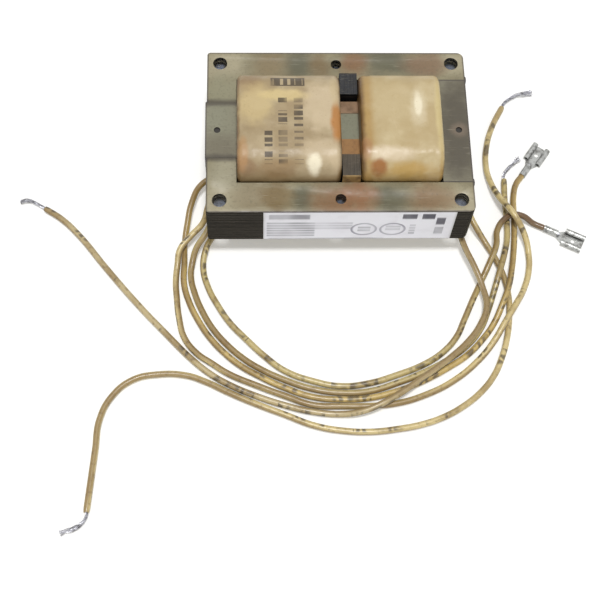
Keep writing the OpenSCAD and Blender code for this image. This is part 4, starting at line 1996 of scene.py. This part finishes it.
LINE_LEAD_B = (
    (-42.5, -13.5, 5.5), (-44.5, -16, 6), (-45.5, -19.5, 6.5), (-46, -23, 6.5), (-48.5, -29, 6),
    (-52, -34, 4), (-53.5, -39, 2), (-54, -44, 1.3), (-52.5, -51, 1.3), (-49.5, -58.5, 1.3),
    (-45.5, -65.5, 1.3), (-40, -72, 1.3), (-35, -76.5, 1.3), (-30, -80, 1.3), (-20, -85, 1.3),
    (-10, -88.5, 1.3), (0, -90, 1.3), (10, -89.5, 1.3), (20, -86.5, 1.3), (30, -82.5, 1.3),
    (40, -77, 1.3), (46.5, -72, 1.3), (51.5, -66, 1.3), (55, -58.5, 1.3), (57.5, -51.5, 2.5),
    (60, -44, 4), (62.5, -36.5, 3.5), (64.5, -29, 1.5), (65, -21, 1.3), (65, -13, 1.3),
    (65.5, -4, 1.3),
)
LINE_LEAD_B_TIP = ((68.5, 2, 1.3), (72, 5.5, 1.3))
CAPACITOR_LEAD_A = (
    (-44.5, -4.5, 5.5), (-50.5, -8, 5), (-54, -15.5, 4.5), (-55.5, -23, 3), (-56.5, -31, 1.5),
    (-56.5, -39, 1.3), (-56.5, -47, 1.3), (-54.5, -54.5, 1.3), (-51, -62, 1.3), (-46.5, -69, 1.3),
    (-40, -76, 1.3), (-35, -80, 1.3), (-30, -83, 1.3), (-20, -88, 1.3), (-10, -91.5, 1.3),
    (0, -92.5, 1.3), (10, -92, 1.3), (20, -89.5, 1.3), (30, -85.5, 1.3), (40, -80, 1.3),
    (46, -76, 1.3), (52, -70, 1.3), (56.5, -64, 1.5), (60, -57, 3.5), (63, -49.5, 4),
    (65, -42, 2.5), (66.5, -34.5, 1.5), (67.5, -26.5, 1.3), (68, -18.5, 1.3), (68.5, -11.5, 1.3),
    (70, -6, 1.5), (72.5, -2.5, 1.5),
)
CAPACITOR_LEAD_B = (
    (-42.5, -18, 5), (-44.5, -20.5, 4), (-45.5, -24, 3.5), (-46, -28, 3), (-48.5, -33.5, 2.5),
    (-49.5, -41, 1.5), (-47.5, -49, 1.3), (-44, -56, 1.3), (-39.5, -63, 1.3), (-34, -69, 1.3),
    (-27, -76, 1.3), (-20, -81.5, 1.3), (-10, -85.5, 1.3), (0, -87.5, 1.3), (10, -86.5, 1.3),
    (20, -83.5, 1.3), (30, -79.5, 1.3), (37, -75, 1.3), (42.5, -69, 1.3), (46, -62, 1.3),
    (49.5, -54.5, 1.3), (53, -47.5, 1.5), (56.5, -40.5, 3.5), (59.5, -33.5, 4.5), (60.5, -27, 4),
    (63.5, -22.5, 4), (67, -20.5, 4), (71, -21, 3.5), (75, -23, 1.5), (79, -25, 1.5),
)
COMMON_LEAD = (
    (43, -18.5, 5.5), (45, -23, 5.5), (46, -29, 5.5), (47.5, -35, 5.5), (50.5, -42.5, 5),
    (53, -50, 4), (54, -58, 4), (51, -65.5, 4), (46, -72, 4), (40.5, -77, 4),
    (34, -82, 4), (27.5, -86.5, 4), (21, -91, 4), (14, -95, 4), (7, -97.5, 3),
    (0, -98, 1.5), (-10, -97, 1.3), (-20, -94.5, 1.3), (-30, -91, 1.3), (-40, -86.5, 1.3),
    (-46.5, -82.5, 1.3), (-52.5, -77.5, 1.3), (-63.5, -66, 1.3), (-73, -55.5, 1.3), (-85, -41, 1.3),
    (-96, -27, 1.3), (-102.5, -20.5, 1.3), (-109, -16, 1.3),
)
COMMON_LEAD_TIP = ((-115.5, -12.5, 1.3), (-118.5, -13, 1.3))
LAMP_LEAD = (
    (44.5, -10.5, 5.5), (49, -17.5, 5), (52, -24.5, 4), (56, -31, 1.5), (59.5, -38, 1.3),
    (62, -45.5, 1.3), (63, -53.5, 1.3), (62.5, -61.5, 1.3), (61, -69.5, 1.3), (58.5, -77, 1.3),
    (55, -84, 1.3), (50, -90, 1.3), (43, -95.5, 1.3), (35.5, -99.5, 1.3), (28, -102, 1.3),
    (20, -103.5, 1.3), (10, -104.5, 1.3), (0, -104, 1.3), (-10, -102, 1.3), (-20, -98, 1.3),
    (-30, -94, 1.3), (-40, -89.5, 1.3), (-48, -85.5, 1.3), (-55, -83, 1.3), (-65, -82.5, 1.3),
    (-74, -84.5, 1.3), (-81, -90.5, 1.3), (-85, -99, 1.3), (-86, -110, 1.3), (-87, -121, 1.3),
    (-88, -132, 1.3),
)
LAMP_LEAD_TIP = ((-91, -137, 1.3), (-96.5, -139, 1.3))


def leads() -> tuple[Lead, ...]:
    """Lists the six leads, each with its own shade and its own place of the print.

    Returns:
        The leads, in the order in which they are built.
    """
    gold, straw = paint(196, 170, 104), paint(208, 188, 132)
    olive, tan = paint(190, 172, 116), paint(188, 170, 126)
    return (
        Lead("line_lead_a", Winding.PRIMARY, -8, LINE_LEAD_A, 310.7,
             SleeveFinish("sleeve_line_a", straw, phase=0.4), LINE_LEAD_A_TIP, seed=21),
        Lead("line_lead_b", Winding.PRIMARY, -12.5, LINE_LEAD_B, 240.7,
             SleeveFinish("sleeve_line_b", olive, phase=1.7), LINE_LEAD_B_TIP, seed=22),
        Lead("capacitor_lead_a", Winding.PRIMARY, -3.5, CAPACITOR_LEAD_A, 264.4,
             SleeveFinish("sleeve_capacitor_a", gold, phase=2.9), terminal="capacitor_terminal_a"),
        Lead("capacitor_lead_b", Winding.PRIMARY, -17, CAPACITOR_LEAD_B, 220.9,
             SleeveFinish("sleeve_capacitor_b", olive, phase=4.1, scorch_from=198 * MM),
             terminal="capacitor_terminal_b"),
        Lead("common_lead", Winding.SECONDARY, -17, COMMON_LEAD, 260.1,
             SleeveFinish("sleeve_common", tan, phase=5.2), COMMON_LEAD_TIP, seed=25),
        Lead("lamp_lead", Winding.SECONDARY, -9, LAMP_LEAD, 279.9,
             SleeveFinish("sleeve_lamp", straw, phase=0.9), LAMP_LEAD_TIP, seed=26),
    )


# Pale spots in the varnish of both coils, which stand for the lamps' highlights
GLINT = paint(246, 236, 208)
# How far the ink's boxes reach above and below a coil's top, in millimetres
INK_DEPTH = 8.0


def primary_inks(height: float) -> tuple[Print, ...]:
    """Lists the worn ink on the primary coil: three columns of bars and an outlined box.

    Args:
        height: height of the coil's top, in millimetres.

    Returns:
        The prints.
    """
    columns = (
        (-25.4, -11.5, 1.4, 6.6, 2.8, 1.0), (-20.3, -4.8, 1.6, 13.2, 3.2, 0.97),
        (-14.7, -5.4, 1.6, 12.6, 3.2, 0.97),
    )
    inks = []
    for x, y, half_x, half_y, row, filled in columns:
        inks.append(Print((x, y, height), (half_x, half_y, INK_DEPTH), run=Axis.Y, rise=Axis.X,
                          mark=2.7, row=row, filled=filled, wide=0.74))
    inks.append(Print((-18.4, 14.4, height), (6.1, 2.1, INK_DEPTH), run=Axis.X, rise=Axis.Y,
                      mark=2.6, row=4.2, filled=0.8, wide=0.9, line=0.5))
    return tuple(inks)


def primary_varnish() -> CoilVarnish:
    """Puts the primary coil's stains, painted highlights and reflections, and ink in their places.

    Returns:
        The finish.
    """
    rose_and_sheen, brown, orange = paint(202, 183, 150), paint(122, 80, 40), paint(176, 120, 60)
    low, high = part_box("primary_wrap")
    patches = (
        # The rose patches at Y -14 are a painted reflection of the lamp on the coil's front shoulder; the
        # one at Y 4 is a pale tint in the wrap
        Patch(-6, 4, 7, 10, rose_and_sheen, 0.85), Patch(-31, -14, 5, 5, rose_and_sheen, 0.15),
        Patch(-32, 14, 4, 5, brown, 0.3), Patch(-1.2, -2.5, 2, 7.5, orange, 0.95),
        Patch(-34, -19, 4, 3, brown, 0.5), Patch(-22, -20, 8, 3, paint(142, 112, 72), 0.6),
        # Painted reflection band and painted highlight on the coil's front shoulder
        Patch(-7, -14, 7, 4.5, rose_and_sheen, 0.7), Patch(-9.3, -18.2, 2.6, 3, GLINT, 0.9),
        Patch(-30, 5, 6, 8, paint(204, 182, 132), 0.7), Patch(-20, 8.5, 8, 2.5, paint(218, 196, 140), 0.7),
        Patch(-2, -17, 2.5, 3.5, paint(200, 180, 146), 0.6),
        Patch(-1.5, 11, 1.8, 6, paint(196, 176, 136), 0.6),
        Patch(-34.5, -15, 1.8, 6, paint(178, 134, 86), 0.6),
    )
    return CoilVarnish("primary_varnish", low.x, high.x, high.z, paint(160, 140, 106), paint(178, 160, 126),
                       paint(126, 100, 62), coat=0.18, patches=patches, prints=primary_inks(high.z / MM))


def secondary_varnish() -> CoilVarnish:
    """Puts the secondary coil's stains, painted highlights and reflections in their places.

    Returns:
        The finish.
    """
    low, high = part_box("secondary_wrap")
    patches = (
        # Painted reflection of the lamp on the coil's front shoulder
        Patch(17, -15, 8.5, 2.6, paint(216, 198, 168), 0.75),
        Patch(23, -20.5, 11, 2.6, paint(184, 146, 68), 0.75),
        Patch(13.6, -19.2, 3.1, 2.3, paint(148, 90, 26), 0.9),
        Patch(20, 6, 8, 8, paint(200, 182, 142), 0.5),
        Patch(36, 0, 1.8, 17, paint(206, 188, 136)), Patch(28.1, 3, 3, 8, GLINT, 0.3),
        Patch(28.1, 4.5, 1.4, 4.5, GLINT, 0.7), Patch(9, -13, 2, 4, paint(160, 112, 70), 0.6),
    )
    return CoilVarnish("secondary_varnish", low.x, high.x, high.z, paint(184, 163, 120),
                       paint(198, 180, 140), paint(168, 134, 74), left_band=4 * MM, coat=0.32,
                       patches=patches)


def main() -> None:
    """Builds the camera, the leads, the studio and the rest of the object."""
    logging.basicConfig(level=logging.INFO, format="%(message)s")
    CameraRig().build()
    strands = Tin("tinned_strands", paint(186, 186, 192), paint(104, 102, 104)).build()
    for lead in leads():
        lead.build(strands)
    sheet = Tin("tinned_sheet").build()
    for side in ("a", "b"):
        dress(f"capacitor_lead_{side}_strands", strands)
        dress(f"capacitor_terminal_{side}", sheet)
    Studio().build()
    Core().build()
    board = Paper("pressboard", paint(150, 108, 66), paint(104, 70, 40)).build()
    wire = EnamelledWire().build()
    Coil(Winding.PRIMARY, primary_varnish()).build(board, wire)
    Coil(Winding.SECONDARY, secondary_varnish(), left_step=4.2).build(board, wire)
    Shunts().build()
    back_liner = Paper("back_liner_paper", paint(146, 116, 88), paint(112, 86, 60), 0.45)
    dress("back_leg_liner", back_liner.build())
    front_liner = Paper("front_liner_paper", paint(156, 114, 64), paint(116, 78, 42), 0.45)
    dress("front_leg_liner", front_liner.build())
    Nameplate().build()


if __name__ == "__main__":
    main()
